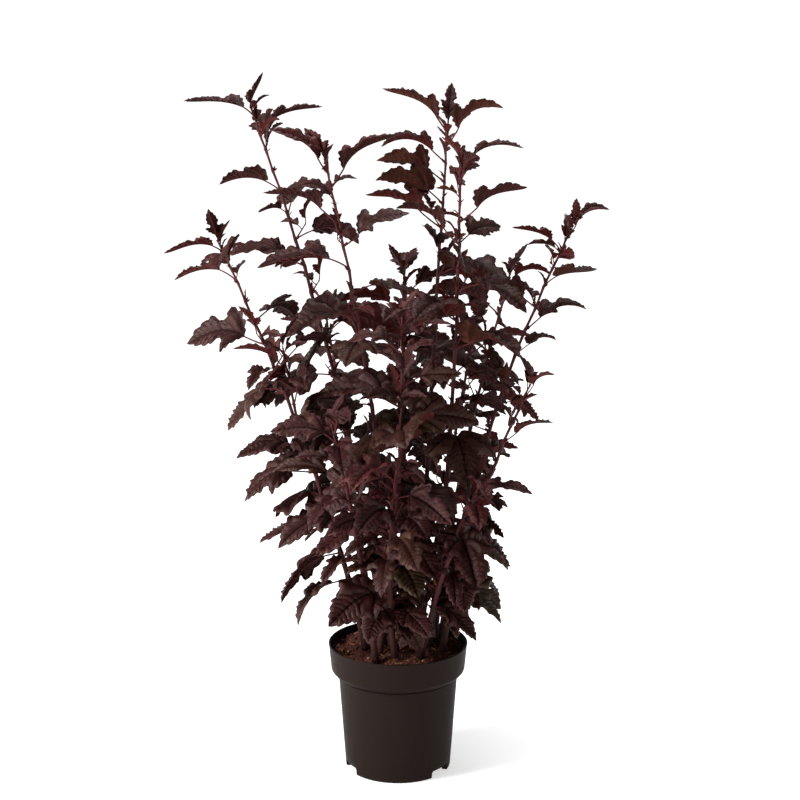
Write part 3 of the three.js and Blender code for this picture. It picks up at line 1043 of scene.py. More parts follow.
    def grow_stem(self, stem: Stem) -> None:
        """Grow the leaves of one stem from the tip down, by the rule of the solids.

        Args:
            stem: the stem.
        """
        stem.reseed(*self.rule_seeds)
        for i in range(3):
            turn = math.radians(self.first_turn + self.turn_step * stem.index + i * 120)
            self.add_leaf(stem, stem.below(3 * (i + 0.3)), turn, self.rosette_blade,
                          self.rosette_stalk / self.rosette_blade, BUDDING, 3 * i, Kind.ROSETTE)
        for mark, depth in zip(stem.plan.leaves, stem.depths):
            if 1 - depth / stem.length < stem.plan.bare + 0.01:
                continue
            bulk = stem.plan.size * (self.large_blade if mark.isupper() else 1.0)
            grown = 1 - math.exp(-depth / self.blade_reach)
            size = bulk * (self.least_blade + self.more_blade * grown)
            turn = 0.0 if mark == "." else math.radians(Side.of(mark).value)
            if mark != ".":
                pose = LIT.towards(SHADED, stem.shade(depth, 1.1))
                leaf = self.add_leaf(stem, stem.below(depth), turn, size, self.node_stalk, pose,
                                     depth, Kind.NODE)
                if leaf:
                    leaf.large = mark.isupper()
            if depth > self.shoot_from and stem.random() < self.shoot_share:
                self._grow_shoot(stem, turn + math.radians(34), depth)

    def _grow_shoot(self, stem: Stem, turn: float, depth: float) -> None:
        """Grow a short shoot with a leaf at its tip and one at its side.

        Args:
            stem: the stem.
            turn: the shoot's compass angle.
            depth: its distance below the tip.
        """
        length = self.shoot_length * (0.7 + 0.6 * stem.random())
        twig = Twig.rising(stem.below(depth), turn, math.radians(self.shoot_rise), length, 1.0)
        grown = []
        for share, side, pose in ((1.0, 0, BUDDING), (0.7, 110, LIT.towards(SHADED, 0.2))):
            grown.append(self.add_leaf(
                stem, twig.point(share), turn + math.radians(side), self.shoot_blade,
                self.shoot_stalk / self.shoot_blade, pose, depth, Kind.SHOOT))
        if any(grown):
            stem.twigs.append(twig)
            self.rooms.append(self.stalk_space(twig.start, twig.tip, stem))

    def fill_stem(self, stem: Stem) -> None:
        """Carry a stem on to finer growth: medium leaves, small shoots and young leaves.

        Args:
            stem: the stem.
        """
        random = stem.reseed(*self.fill_seeds)
        for i in range(3):
            size = 16 + 11 * random()
            turn = math.radians(self.first_turn + self.turn_step * stem.index + 60 + 95 * i)
            self.add_leaf(stem, stem.below(4 * i), turn, size, 0.3, BUDDING, 4.0 * i, Kind.AXIL,
                          0.2)
        for i in range(4):
            size = 28 + 20 * random()
            depth = 10.0 + 15 * i
            turn = math.radians(self.turn_step * stem.index + 25 + 137 * i)
            self.add_leaf(stem, stem.below(depth), turn, size, 0.26,
                          BUDDING.towards(LIT, 0.3 + 0.18 * i), depth, Kind.SHOOT, 0.3)
        facing = 0.0
        filling = stem.plan.filling
        for depth in stem.depths:
            if 1 - depth / stem.length < stem.plan.bare - 0.04:
                continue
            start = stem.below(depth)
            facing += math.radians(144 + 30 * random())
            if depth > 90 and random() < filling:
                size = stem.plan.size * (40 + 26 * random())
                pose = LIT.towards(SHADED, stem.shade(depth, 1))
                self.add_leaf(stem, start, facing, size, 0.34, pose, depth, Kind.FILLING, 0.55)
            if depth > 110 and random() < 0.75 * filling:
                self._fill_shoot(stem, facing + 2.1, depth)
            if random() < 0.4:
                size = 13 + 9 * random()
                self.add_leaf(stem, start, facing + 4.3, size, 0.3, BUDDING, depth, Kind.AXIL,
                              0.3)

    def _fill_shoot(self, stem: Stem, turn: float, depth: float) -> None:
        """Add a tiny shoot of up to three young leaves in an axil.

        Args:
            stem: the stem.
            turn: the shoot's compass angle.
            depth: its distance below the tip.
        """
        rise = math.radians(40 + 30 * stem.random())
        twig = Twig.rising(stem.below(depth), turn, rise, 5 + 12 * stem.random(), 0.7)
        grown = []
        for step in range(3):
            size = 19 + 16 * stem.random()
            grown.append(self.add_leaf(stem, twig.point(1 - 0.25 * step), turn + 2.2 * step, size,
                                       0.22, BUDDING.towards(LIT, 0.4 * step), depth,
                                       Kind.SHOOT, 0.6))
        if any(grown):
            stem.twigs.append(twig)

    def grow_foot(self, stem: Stem) -> None:
        """Hang a few leaves low on a full cane, so that its foot doesn't stand bare.

        Args:
            stem: the stem.
        """
        random = stem.reseed(*self.foot_seeds)
        outward = math.atan2(stem.path.foot[1], stem.path.foot[0])
        for i in range(int(round(10 * stem.plan.filling))):
            start = stem.path.point(0.1 + 0.028 * i + 0.02 * random())
            size = 46 + 26 * random()
            fan = 36 * ((i + 1) // 2) * (-1) ** i
            turn = outward + math.radians(fan + 30 * (random() - 0.5))
            leaf = self.place_leaf(stem, start, turn, size, 0.36,
                                   Pose(14 + 16 * random(), -52, -86, 14), 400.0, Kind.FILLING,
                                   0.45)
            if leaf is None:
                continue
            reach = leaf.blade_points(self.spots)
            outside = np.linalg.norm(reach[:, :2], axis=1) > self.rim_reach
            low = reach[:, 2] < self.soil_top + np.where(outside, 26, 6)
            if not low.any() and reach[:, 0].mean() > -42:
                stem.leaves.append(leaf)

    def grow(self) -> list[Stem]:
        """Grow the whole plant.

        Returns:
            The canes in order, and the branch last.
        """
        for step in (self.grow_stem, self.fill_stem, self.grow_foot):
            for stem in self.stems:
                step(stem)
        return self.stems


class BladeSide(Enum):
    """What a face of a blade belongs to."""

    TOP = 0
    UNDER = 1
    # Bands over the sunk veins on top, whose dark colour holds painted shade.
    VEIN = 2
    RIB = 3


@dataclass
class BladePattern:
    """A flat blade: outline, veins and triangles, in shares of its length.

    guide runs round one half from the stalk to the tip, lobe is the guide's corner at the tip of
    the side lobe, and teeth gives how many teeth stand before and after that corner.
    """

    guide: tuple[tuple[float, float], ...]
    lobe: int = 6
    teeth: tuple[int, int] = (4, 6)
    per_tooth: int = 5
    depth: float = 0.042
    spacing: float = 0.044
    quilt: float = 0.07
    thickness: float = 0.008
    vein_width: float = 0.012
    vein_reach: float = 0.032
    edge_reach: float = 0.04
    band_step: float = 0.13
    least_vein: float = 0.5

    # Where side veins leave the midrib, then where a lobe's leave its own, their reach and lean
    vein_starts = (0.13, 0.24, 0.345, 0.445, 0.54, 0.63, 0.715, 0.8)
    lobe_veins = ((0.2, 0.8, -0.06), (0.38, 0.84, -0.03), (0.57, 0.87, 0.0), (0.77, 0.9, 0.03))

    def __post_init__(self) -> None:
        """Work out the sheet."""
        half = self._half_outline()
        self.outline = np.concatenate([half, half[1:-1][::-1] * (1.0, -1.0)])
        self.veins = self._vein_lines(half)
        self._build_body()

    def _spline(self, points: np.ndarray, count: int) -> np.ndarray:
        """Run a smooth curve through points and space samples evenly along it.

        Args:
            points: the points.
            count: how many samples.

        Returns:
            The samples.
        """
        before, after = 2 * points[0] - points[1], 2 * points[-1] - points[-2]
        padded = np.concatenate([[before], points, [after]])
        fine = []
        for i in range(len(points) - 1):
            a, b, c, d = padded[i:i + 4]
            t = np.linspace(0, 1, 24, endpoint=i == len(points) - 2)[:, None]
            fine.append(0.5 * (2 * b + (c - a) * t + (2 * a - 5 * b + 4 * c - d) * t ** 2
                               + (3 * b - a - 3 * c + d) * t ** 3))
        return respace(np.concatenate(fine), count)

    def _toothed(self, points: np.ndarray, teeth: int, fade: tuple[float, float]) -> np.ndarray:
        """Push a stretch of outline out into teeth that point towards the tip.

        Args:
            points: the stretch's guide.
            teeth: how many teeth.
            fade: shares of it at its start and end where the teeth grow smaller.

        Returns:
            The stretch.
        """
        count = teeth * self.per_tooth + 1
        line = self._spline(points, count)
        along = headings(line)
        outward = np.stack([-along[:, 1], along[:, 0]], -1)
        place = np.arange(count) / self.per_tooth
        size = np.where(np.floor(place) % 2 == 0, 1.0, 0.72)
        rise = np.sin(math.pi * (place % 1) ** 1.35) * size
        run = np.linspace(0, 1, count)
        height = self.depth * np.clip(run / fade[0], 0, 1) * np.clip((1 - run) / fade[1], 0, 1)
        return line + (rise * height)[:, None] * (outward + 0.5 * along)

    def _half_outline(self) -> np.ndarray:
        """Run round one half from the stalk to the tip.

        Returns:
            The points of the outline.
        """
        guide = np.array(self.guide)
        before = self._toothed(guide[:self.lobe + 1], self.teeth[0], (0.35, 0.12))
        after = self._toothed(guide[self.lobe:], self.teeth[1], (0.2, 0.3))
        made = np.concatenate([before, after[1:]])
        made[0], made[-1] = (0.0, 0.0), (1.0, 0.0)
        return made

    def _width(self, half: np.ndarray, share: float) -> float:
        """Give the least half width of the blade near a share of its length.

        Args:
            half: the outline of one half.
            share: the share.

        Returns:
            The half width.
        """
        first, step = half[:-1], np.diff(half, axis=0)
        reach = []
        for x in (share - 0.03, share, share + 0.03):
            with np.errstate(divide="ignore", invalid="ignore"):
                part = (x - first[:, 0]) / step[:, 0]
            met = (part >= 0) & (part <= 1)
            if met.any():
                reach.append(float((first[:, 1] + part * step[:, 1])[met].max()))
        return min(reach, default=0.0)

    def _vein_lines(self, half: np.ndarray) -> list[tuple[np.ndarray, float]]:
        """Draw the veins, each with how deep it lies.

        Args:
            half: the outline of one half.

        Returns:
            Lines of points with a weight of 1 for the main ones.
        """
        lobe = np.array(self.guide[self.lobe])
        made = [(np.array([(0, 0), (0.97, 0)]), 1.0)]
        for flip in np.array([(1, 1), (1, -1)]):
            side = np.array([(0.01, 0.006), 0.45 * lobe + (0.0, 0.015), 0.92 * lobe])
            made.append((side * flip, 1.0))
            for start in self.vein_starts:
                end = start + 0.2 * (1.15 - start)
                wide = 0.9 * self._width(half, end)
                if start < 0.3:
                    wide = min(wide, 0.08 + 0.35 * start)
                bend = (start + 0.35 * (end - start), 0.42 * wide)
                made.append((np.array([(start, 0.004), bend, (end, wide)]) * flip, 0.7))
            for at, reach, back in self.lobe_veins:
                root = lobe * at
                x = root[0] + back
                y = reach * self._width(half, max(x, 0.0))
                if y > root[1] + 0.03:
                    made.append((np.array([root, (x, y)]) * flip, 0.7))
        return made

    def _triangulate(self) -> PointsAndFaces:
        """Fill the outline with triangles that follow the veins.

        Returns:
            Flat points and triangles.
        """
        edges: list[tuple[int, int]] = []
        kept = list(self.outline)
        for line, _ in self.veins:
            count = max(2, int(round(run_along(line)[-1] / self.spacing)) + 1)
            edges += [(len(kept) + i, len(kept) + i + 1) for i in range(count - 1)]
            kept += list(respace(line, count))
        placed = np.array(kept)
        low, high = self.outline.min(axis=0), self.outline.max(axis=0)
        for row, y in enumerate(np.arange(low[1], high[1], 0.866 * self.spacing)):
            for x in np.arange(low[0] + (row % 2) * self.spacing / 2, high[0], self.spacing):
                spot = np.array([x, y])
                far = np.linalg.norm(placed - spot, axis=1).min() > 0.55 * self.spacing
                if far and self._inside(spot):
                    kept.append(spot)
        loop = list(range(len(self.outline)))
        result = delaunay_2d_cdt([tuple(spot) for spot in kept], edges, [loop], 1, 1e-6)
        flat = np.array([tuple(point) for point in result[0]])
        faces = np.array([face for face in result[2] if len(face) == 3])
        a, b, c = (flat[faces[:, k]] for k in range(3))
        turned_over = (b - a)[:, 0] * (c - a)[:, 1] - (b - a)[:, 1] * (c - a)[:, 0] < 0
        faces[turned_over] = faces[turned_over][:, ::-1]
        return flat, faces

    def _vein_edges(self, flat: np.ndarray, faces: np.ndarray) -> np.ndarray:
        """Find the edges of triangles that lie on a vein.

        Args:
            flat: the points.
            faces: the triangles.

        Returns:
            Pairs of corners.
        """
        pairs = np.concatenate([faces[:, [0, 1]], faces[:, [1, 2]], faces[:, [2, 0]]])
        pairs = np.unique(np.sort(pairs, axis=1), axis=0)
        on_vein = np.zeros(len(pairs), dtype=bool)
        for line, _ in self.veins:
            reach = [gaps(spots, line) for spots in
                     (flat[pairs[:, 0]], flat[pairs[:, 1]], flat[pairs].mean(axis=1))]
            on_vein |= np.max(reach, axis=0) < 1e-4
        return pairs[on_vein]

    def _inside(self, spot: np.ndarray) -> bool:
        """Say whether a spot lies within the outline.

        Args:
            spot: the spot.

        Returns:
            True where it does.
        """
        a, b = self.outline, np.roll(self.outline, -1, axis=0)
        crosses = (a[:, 1] > spot[1]) != (b[:, 1] > spot[1])
        with np.errstate(divide="ignore", invalid="ignore"):
            x = (b[:, 0] - a[:, 0]) * (spot[1] - a[:, 1]) / (b[:, 1] - a[:, 1]) + a[:, 0]
        return int((crosses & (spot[0] < x)).sum()) % 2 == 1

    def _relief(self, flat: np.ndarray) -> tuple[np.ndarray, np.ndarray]:
        """Sink the veins into the top and raise them below.

        Args:
            flat: places on the blade.

        Returns:
            Heights of the top and of the underside there.
        """
        sunk = np.zeros(len(flat))
        for line, weight in self.veins:
            sunk = np.maximum(sunk, weight * np.exp(-(gaps(flat, line) / self.vein_reach) ** 2))
        edge = np.linalg.norm(flat[:, None] - self.outline[None], axis=2).min(axis=1)
        inner = np.clip(edge / self.edge_reach, 0, 1)
        top = self.quilt * (1 - sunk) * inner
        return top, top - self.thickness * (1 + 0.9 * sunk) * inner

    def _build_body(self) -> None:
        """Lay the top, the underside and the bands of the veins together."""
        flat, faces = self._triangulate()
        bands, strips, middles, halves = self._vein_bands()
        first = 2 * len(flat)
        over, beneath = self._relief(middles)
        self.places = np.concatenate([flat, flat, bands, bands])
        # Bands over the top take the dark vein colour, with painted shade of the grooves; those
        # below take the red of the ribs.
        self.heights = np.concatenate([*self._relief(flat), over + 0.7 * halves + 0.002,
                                       beneath - 0.003])
        self.faces = np.concatenate([faces, faces[:, ::-1] + len(flat), strips + first,
                                     strips[:, ::-1] + first + len(bands)])
        self.sides = np.repeat([side.value for side in BladeSide],
                               [len(faces)] * 2 + [len(strips)] * 2)
        veins = self._vein_edges(flat, faces)
        self.creases = np.concatenate([veins, veins + len(flat)])

    def _vein_bands(self) -> tuple[np.ndarray, ...]:
        """Lay a thin band along each vein that is heavy enough, narrower towards its end.

        Returns:
            Its corners, triangles, the spot on the vein beside each corner and its half width.
        """
        places, strips, middles, halves = [], [], [], []
        count = 0
        for line, weight in self.veins:
            if weight < self.least_vein:
                continue
            steps = max(2, int(math.ceil(run_along(line)[-1] / self.band_step)))
            points = respace(line, steps + 1)
            along = headings(points)
            half = self.vein_width * weight * np.linspace(1.15, 0.45, steps + 1)[:, None]
            across = half * np.stack([-along[:, 1], along[:, 0]], -1)
            places += [points + across, points - across]
            middles += [points, points]
            halves += [half[:, 0], half[:, 0]]
            left = count + np.arange(steps)
            right = left + steps + 1
            strips += [np.stack([left, right, right + 1], -1),
                       np.stack([left, right + 1, left + 1], -1)]
            count += 2 * (steps + 1)
        return tuple(np.concatenate(part) for part in (places, strips, middles, halves))


class Blade(Enum):
    """Outlines that leaves of this shrub have."""

    BROAD = ((0, 0), (-0.07, 0.08), (-0.085, 0.19), (-0.03, 0.31), (0.08, 0.4), (0.21, 0.45),
             (0.38, 0.49), (0.42, 0.375), (0.49, 0.315), (0.62, 0.28), (0.77, 0.19),
             (0.91, 0.085), (1, 0))
    DEEP = ((0, 0), (-0.06, 0.07), (-0.07, 0.17), (-0.01, 0.28), (0.09, 0.36), (0.22, 0.42),
            (0.43, 0.5), (0.42, 0.31), (0.44, 0.2), (0.59, 0.25), (0.75, 0.185),
            (0.9, 0.08), (1, 0))
    WEDGE = ((0, 0), (0.02, 0.045), (0.05, 0.105), (0.09, 0.175), (0.14, 0.24), (0.19, 0.295),
             (0.3, 0.375), (0.31, 0.21), (0.355, 0.125), (0.51, 0.195), (0.69, 0.165),
             (0.87, 0.075), (1, 0))
    SLIM = ((0, 0), (0.025, 0.035), (0.06, 0.085), (0.1, 0.14), (0.145, 0.195), (0.19, 0.24),
            (0.28, 0.305), (0.295, 0.18), (0.34, 0.105), (0.5, 0.17), (0.69, 0.14),
            (0.88, 0.06), (1, 0))
    LEAN = ((0, 0), (-0.04, 0.05), (-0.04, 0.13), (0.02, 0.22), (0.1, 0.29), (0.21, 0.335),
            (0.38, 0.39), (0.4, 0.26), (0.44, 0.18), (0.6, 0.22), (0.77, 0.16), (0.91, 0.065),
            (1, 0))


class BentBlade:
    """One leaf's own arch, fold, sweep, twist and waves."""

    steps = 64

    def __init__(self, leaf: GrownLeaf, stem: int, index: int) -> None:
        """Draw the leaf's own changes.

        Args:
            leaf: where the leaf stands.
            stem: number of its stem.
            index: number of the leaf on the stem.
        """
        self.leaf = leaf
        self.draw = np.random.default_rng([stem, index])
        uniform = self.draw.uniform
        self.light = math.exp(-leaf.depth / 170)
        shade = 1 - self.light
        self.size = leaf.length * self._scale()
        self.sweep = 0.09 * uniform(-1, 1)
        self.twist = 0.5 * uniform(-1, 1)
        self.wide = uniform(0.85, 1.12)
        raised = uniform(-0.2, 0.6) + 0.25 * self.light
        curl = uniform(-0.7, 0.4) - 0.1 * self.light - 0.25 * shade
        lift = uniform(-0.05, 0.45) * shade
        self.fold = leaf.pose.fold * uniform(0.35, 1.3)
        self.droop = uniform(0.1, 0.6)
        self.wave = uniform(0.014, 0.034) + 0.012 * self.light
        if leaf.kind is Kind.ROSETTE:
            raised, curl = uniform(-0.35, 0.1), uniform(-0.8, -0.2)
        self.count = uniform(1.6, 3.1)
        self.phases = uniform(0, 2 * math.pi, 2)
        self.flip = 1 if self.draw.random() < 0.5 else -1
        self.blade = self._outline()
        outward = leaf.start[:2] / max(float(np.linalg.norm(leaf.start[:2])), 90.0)
        self.roll = leaf.roll - 0.7 * float(leaf.side[:2] @ outward) + uniform(-0.4, 0.4)
        lifted = leaf.pose.stalk + 0.3 * self.light
        self.root = leaf.start + leaf.rise(lifted) * leaf.stalk * (1 - uniform(0, 0.4) * self.light)
        self.shares = np.linspace(0, 1, self.steps + 1)
        self.bend = leaf.pose.root + (leaf.pose.tip - leaf.pose.root) * self.shares
        self.bend += lift + raised * (1 - self.shares) ** 1.6 - curl * self.shares ** 3
        step = (self.bend[1:] + self.bend[:-1]) / 2
        self.out = np.concatenate([[0], np.cumsum(np.cos(step))]) / self.steps
        self.up = np.concatenate([[0], np.cumsum(np.sin(step))]) / self.steps

    def _scale(self) -> float:
        """Draw how much larger or smaller the leaf is than the growth rule makes it.

        Returns:
            The factor on its length.
        """
        if self.leaf.kind is Kind.ROSETTE:
            return self.draw.uniform(1.0, 1.3)
        if self.leaf.kind is not Kind.NODE or self.leaf.large:
            return self.draw.uniform(0.84, 1.04)
        return self.draw.uniform(*((0.6, 0.8) if self.draw.random() < 0.22 else (0.84, 1.08)))

    def _outline(self) -> Blade:
        """Choose an outline: wedge-shaped at the foot where the leaf is young or well lit.

        Returns:
            The outline.
        """
        depth = self.leaf.depth
        if self.leaf.kind in YOUNG_KINDS or depth < 70:
            options, odds = (Blade.SLIM, Blade.WEDGE), (0.65, 0.35)
        elif depth < 190:
            options, odds = (Blade.WEDGE, Blade.SLIM, Blade.LEAN), (0.5, 0.2, 0.3)
        else:
            options, odds = (Blade.BROAD, Blade.DEEP, Blade.LEAN), (0.5, 0.25, 0.25)
        return options[self.draw.choice(len(options), p=odds)]

    def points(self, along: np.ndarray, across: np.ndarray, heights: np.ndarray) -> np.ndarray:
        """Bend places on the flat blade.

        Args:
            along: their shares of the length along the midrib.
            across: their shares of the length across it.
            heights: their heights above the sheet, in the same shares.

        Returns:
            Points in millimetres.
        """
        leaf = self.leaf
        across = self.flip * self.wide * across
        back = np.minimum(along, 0)
        out = np.interp(along, self.shares, self.out) + back * math.cos(self.bend[0])
        up = np.interp(along, self.shares, self.up) + back * math.sin(self.bend[0])
        angle = np.interp(along, self.shares, self.bend)
        off = np.abs(across)
        edge = np.clip(off / 0.33, 0, 1.3) ** 2
        phase = np.where(across > 0, self.phases[0], self.phases[1])
        fold = self.fold + 0.35 * self.light * np.clip(1 - along, 0, 1) ** 2
        lift = (off * np.sin(fold) - self.droop * off ** 2
                + self.wave * edge * np.sin(2 * math.pi * self.count * along + phase) + heights)
        side = across * np.cos(fold) + self.sweep * np.clip(along, 0, 1) ** 2
        turn = self.roll + self.twist * (along - 0.25)
        turned_side = side * np.cos(turn) - lift * np.sin(turn)
        turned_lift = side * np.sin(turn) + lift * np.cos(turn)
        spine = out[:, None] * leaf.out + up[:, None] * UP
        bent = (spine + turned_side[:, None] * leaf.side
                + turned_lift[:, None] * leaf.rise(angle + math.pi / 2))
        return self.root + self.size * bent

    def midrib(self, shares: np.ndarray) -> np.ndarray:
        """Give the course of the midrib, level with the sunk line of the blade."""
        return self.points(shares, np.zeros(len(shares)), np.full(len(shares), -0.004))


class CanePiece:
    """One kind of piece that every cane has, for itself and whatever branches off it."""

    title: ClassVar[str]
    finishes: ClassVar[type[Enum]] = Wood

    def dress(self, stem: Stem, batch: MeshBatch) -> None:
        """Add what one stem has of the piece to its batch."""
        raise NotImplementedError

    def build(self, stems: Sequence[Stem]) -> bpy.types.Object:
        """Make the piece of one cane.

        Args:
            stems: the cane and whatever branches off it.

        Returns:
            The piece.
        """
        batch = MeshBatch(f"{self.title}_{stems[0].plan.name}")
        for stem in stems:
            self.dress(stem, batch)
        return batch.build(self.finishes)


@dataclass
class Foliage(CanePiece):
    """Shaped blades over all the leaves."""

    small_below: float = 40.0
    warm_canes: tuple[str, ...] = ("right_tall", "right_middle", "right_outer")
    title = "leaves"
    finishes = Tint

    def __post_init__(self) -> None:
        """Cut the patterns."""
        self.large = {blade: BladePattern(blade.value) for blade in Blade}
        self.small = {blade: BladePattern(blade.value, 6, (2, 4), 4, 0.036, 0.09, 0.026,
                                          least_vein=0.9) for blade in Blade}

    def under(self, leaf: GrownLeaf, warm: bool, chance: float) -> Tint:
        """Choose the tint of a leaf's underside.

        Args:
            leaf: the leaf.
            warm: whether it grows on a warm-tinted cane.
            chance: its seeded number from 0 to 1.

        Returns:
            The tint.
        """
        if warm and leaf.depth < 260 and chance < 0.35:
            return Tint.UNDER_COPPER
        # Deeper leaves more often get the dark underside, which paints the crown's shade into their
        # colour.
        return Tint.UNDER_DARK if chance < 0.4 + leaf.depth / 900 else Tint.UNDER_RED

    def tint(self, leaf: GrownLeaf, warm: bool, chance: float) -> Tint:
        """Choose a leaf's colour.

        Args:
            leaf: the leaf.
            warm: whether it grows on a warm-tinted cane.
            chance: its seeded number from 0 to 1.

        Returns:
            The tint.
        """
        if leaf.kind in YOUNG_KINDS:
            if chance < 0.3:
                return Tint.GARNET
            return Tint.COPPER if chance < (0.55 if warm else 0.34) else Tint.PLUM
        if leaf.depth < 60:
            return Tint.PLUM if chance < 0.7 else Tint.GARNET
        if leaf.kind is Kind.FILLING and chance < 0.18 or leaf.depth > 260 and chance < 0.1:
            return Tint.OLIVE
        if chance < 0.5:
            return Tint.DUSK
        return Tint.PLUM if chance < 0.75 else Tint.UMBER

    def dress(self, stem: Stem, batch: MeshBatch) -> None:
        """Lay a blade over every leaf of a stem.

        Args:
            stem: the stem.
            batch: the piece.
        """
        warm = stem.plan.name in self.warm_canes
        for index, leaf in enumerate(stem.leaves):
            bent = BentBlade(leaf, stem.index, index)
            pattern = (self.small if bent.size < self.small_below else self.large)[bent.blade]
            # The bands over the top veins take the dark vein tint, which paints the shade of their
            # grooves.
            tints = (self.tint(leaf, warm, bent.draw.random()),
                     self.under(leaf, warm, bent.draw.random()), Tint.VEIN, Tint.RIB)
            slots = np.array([slot_of(tint) for tint in tints])[pattern.sides]
            points = bent.points(*pattern.places.T, pattern.heights)
            batch.add((points, pattern.faces), slots, pattern.creases)


@dataclass
class Canes(CanePiece):
    """Stems with the relief of their bark."""

    foot_radius: float = 4.6
    tip_radius: float = 1.1
    taper: float = 0.8
    flare: float = 1.3
    flare_end: float = 30
    branch_radius: float = 2.0
    kink: float = 0.9
    ring_step: float = 5.0
    sides: int = 14
    title = "wood"

    # The swellings at a node: height, how far below it, and reach
    knobs = ((0.75, 0, 3.2), (0.25, 9, 8))
    # Shares of the length where the grown and the young bark start
    bark_starts = (0.3, 0.84)

    def radius(self, share: np.ndarray) -> np.ndarray:
        """Give a cane's radius along its length."""
        made = self.foot_radius + (self.tip_radius - self.foot_radius) * share ** self.taper
        return made + self.flare * np.exp(-share * self.flare_end)

    def course(self, stem: Stem, shares: np.ndarray) -> np.ndarray:
        """Give a stem's middle line, which kinks a little at each node.

        Args:
            stem: the stem.
            shares: where its rings lie.

        Returns:
            The middle of each ring.
        """
        points = stem.path.point(shares)
        marks = [0.0, *stem.depths, stem.length]
        kinks = [-self.kink * compass(stem.facing(i)) for i in range(len(stem.depths))]
        ends = np.zeros(3)
        for axis, kink in enumerate(np.array([ends, *kinks, ends]).T):
            points[:, axis] += np.interp((1 - shares) * stem.length, marks, kink)
        return points

    def relief(self, stem: Stem, shares: np.ndarray, radii: np.ndarray) -> np.ndarray:
        """Raise the bark at the nodes and in fine ridges.

        Args:
            stem: the stem.
            shares: where its rings lie.
            radii: its smooth radius there.

        Returns:
            A radius for each ring and side.
        """
        draw = np.random.default_rng(500 + stem.index)
        depth = (1 - shares[:, None]) * stem.length
        made = np.repeat(radii[:, None], self.sides, axis=1)
        for node in stem.depths:
            for height, off, reach in self.knobs:
                made += height * np.exp(-((depth - node - off) / reach) ** 2)
        for waves in range(2, 7):
            phase = draw.uniform(0, 2 * math.pi)
            drift = draw.uniform(-0.02, 0.02)
            made *= 1 + 0.018 * np.cos(waves * circle(self.sides) + phase + drift * depth)
        return made * (1 + 0.02 * draw.normal(size=made.shape))

    def dress(self, stem: Stem, batch: MeshBatch) -> None:
        """Raise a stem from the soil to its tip, in its barks from the foot up.

        Args:
            stem: the stem.
            batch: the piece.
        """
        shares = np.linspace(0, 1, int(stem.length / self.ring_step))
        branch = stem.plan is BRANCH
        smooth = self.branch_radius * (1 - 0.5 * shares) if branch else self.radius(shares)
        shape = tube(self.course(stem, shares), self.relief(stem, shares, smooth), self.sides)
        ring = np.minimum(shape[1][:, 0] // self.sides, len(shares) - 1)
        slots = np.array([slot_of(wood) for wood in (Wood.OLD, Wood.GROWN, Wood.YOUNG)])
        batch.add(shape, slots[np.digitize(shares[ring], self.bark_starts)])


@dataclass
class Stalks(CanePiece):
    """Leaf stalks, twigs, buds and stipules."""

    sides: int = 6
    rings: int = 7
    scar: float = 1.2
    title = "stalks"

    rib_shares = np.array([0.06, 0.14, 0.24, 0.36, 0.5, 0.64, 0.78, 0.9])
    stipule_widths = 1.5 * np.array([0.5, 0.9, 1.0, 0.8, 0.45, 0.08])
    bud_widths = 1.5 * np.sin(math.pi * np.array([0.28, 0.5, 0.62, 0.8, 0.95]))

    def dress(self, stem: Stem, batch: MeshBatch) -> None:
        """Add the stalks, twigs, buds and stipules of a stem.

        Args:
            stem: the stem.
            batch: the piece.
        """
        for index, leaf in enumerate(stem.leaves):
            batch.add(self._stalk(BentBlade(leaf, stem.index, index)), Wood.STALK)
        shares = np.linspace(0, 1, self.rings)[:, None]
        for twig in stem.twigs:
            radii = twig.radius * (1.2 - 0.5 * shares[:, 0])
            batch.add(tube(twig.point(shares), radii, self.sides), Wood.YOUNG)
        for index, depth in enumerate(stem.depths):
            share = max(1 - depth / stem.length, 0.02)
            angle = stem.facing(index)
            batch.add(self._bud(stem.path.point(share), compass(angle)), Wood.YOUNG)
            for side in (-1, 1):
                length = 7.5 * (0.8 + 0.4 * ((index * 7 + side) % 5) / 4)
                out = compass(angle + side * 0.8)
                batch.add(self._stipule(stem.path.point(share), out, length), Wood.STALK)

    def _stalk(self, bent: BentBlade) -> PointsAndFaces:
        """Bend a stalk from the stem into the blade, where it runs on as the midrib.

        Args:
            bent: the leaf.

        Returns:
            Points and triangles.
        """
        leaf = bent.leaf
        t = np.linspace(0, 1, self.rings)[:, None]
        back = bent.midrib(np.array([-0.22, 0.0]))
        bend = 0.45 * leaf.start + 0.55 * back[0] + 0.03 * leaf.stalk * UP
        line = (1 - t) ** 2 * leaf.start + 2 * (1 - t) * t * bend + t ** 2 * back[1]
        thick = min(1.35, 0.55 + bent.size / 105)
        radii = thick * (0.95 + 0.6 * np.exp(-t[:, 0] * 9) - 0.2 * t[:, 0])
        rib_radii = thick * 0.62 * (1.04 - self.rib_shares)
        return tube(np.concatenate([line, bent.midrib(self.rib_shares)]),
                    np.concatenate([radii, rib_radii]), self.sides)

    def _stipule(self, node: np.ndarray, out: np.ndarray, length: float) -> PointsAndFaces:
        """Set a narrow pointed scale beside the foot of a leaf's stalk.

        Args:
            node: where the leaf leaves the stem.
            out: the level direction of the scale.
            length: its length.

        Returns:
            Points and triangles.
        """
        t = np.linspace(0, 1, len(self.stipule_widths))[:, None]
        line = node + self.scar * out + length * t * (0.75 * out + 0.5 * t * UP)
        angles = circle(self.sides)
        flat = 0.3 / np.sqrt((0.3 * np.cos(angles)) ** 2 + np.sin(angles) ** 2)
        return tube(line, self.stipule_widths[:, None] * flat, self.sides)

    def _bud(self, node: np.ndarray, out: np.ndarray) -> PointsAndFaces:
        """Set a pointed bud close against the stem above a node, on one side."""
        steps = np.linspace(0, 1, len(self.bud_widths))[:, None] * (3.0 * out + 5.5 * UP)
        return tube(node + self.scar * out + steps, self.bud_widths, self.sides)


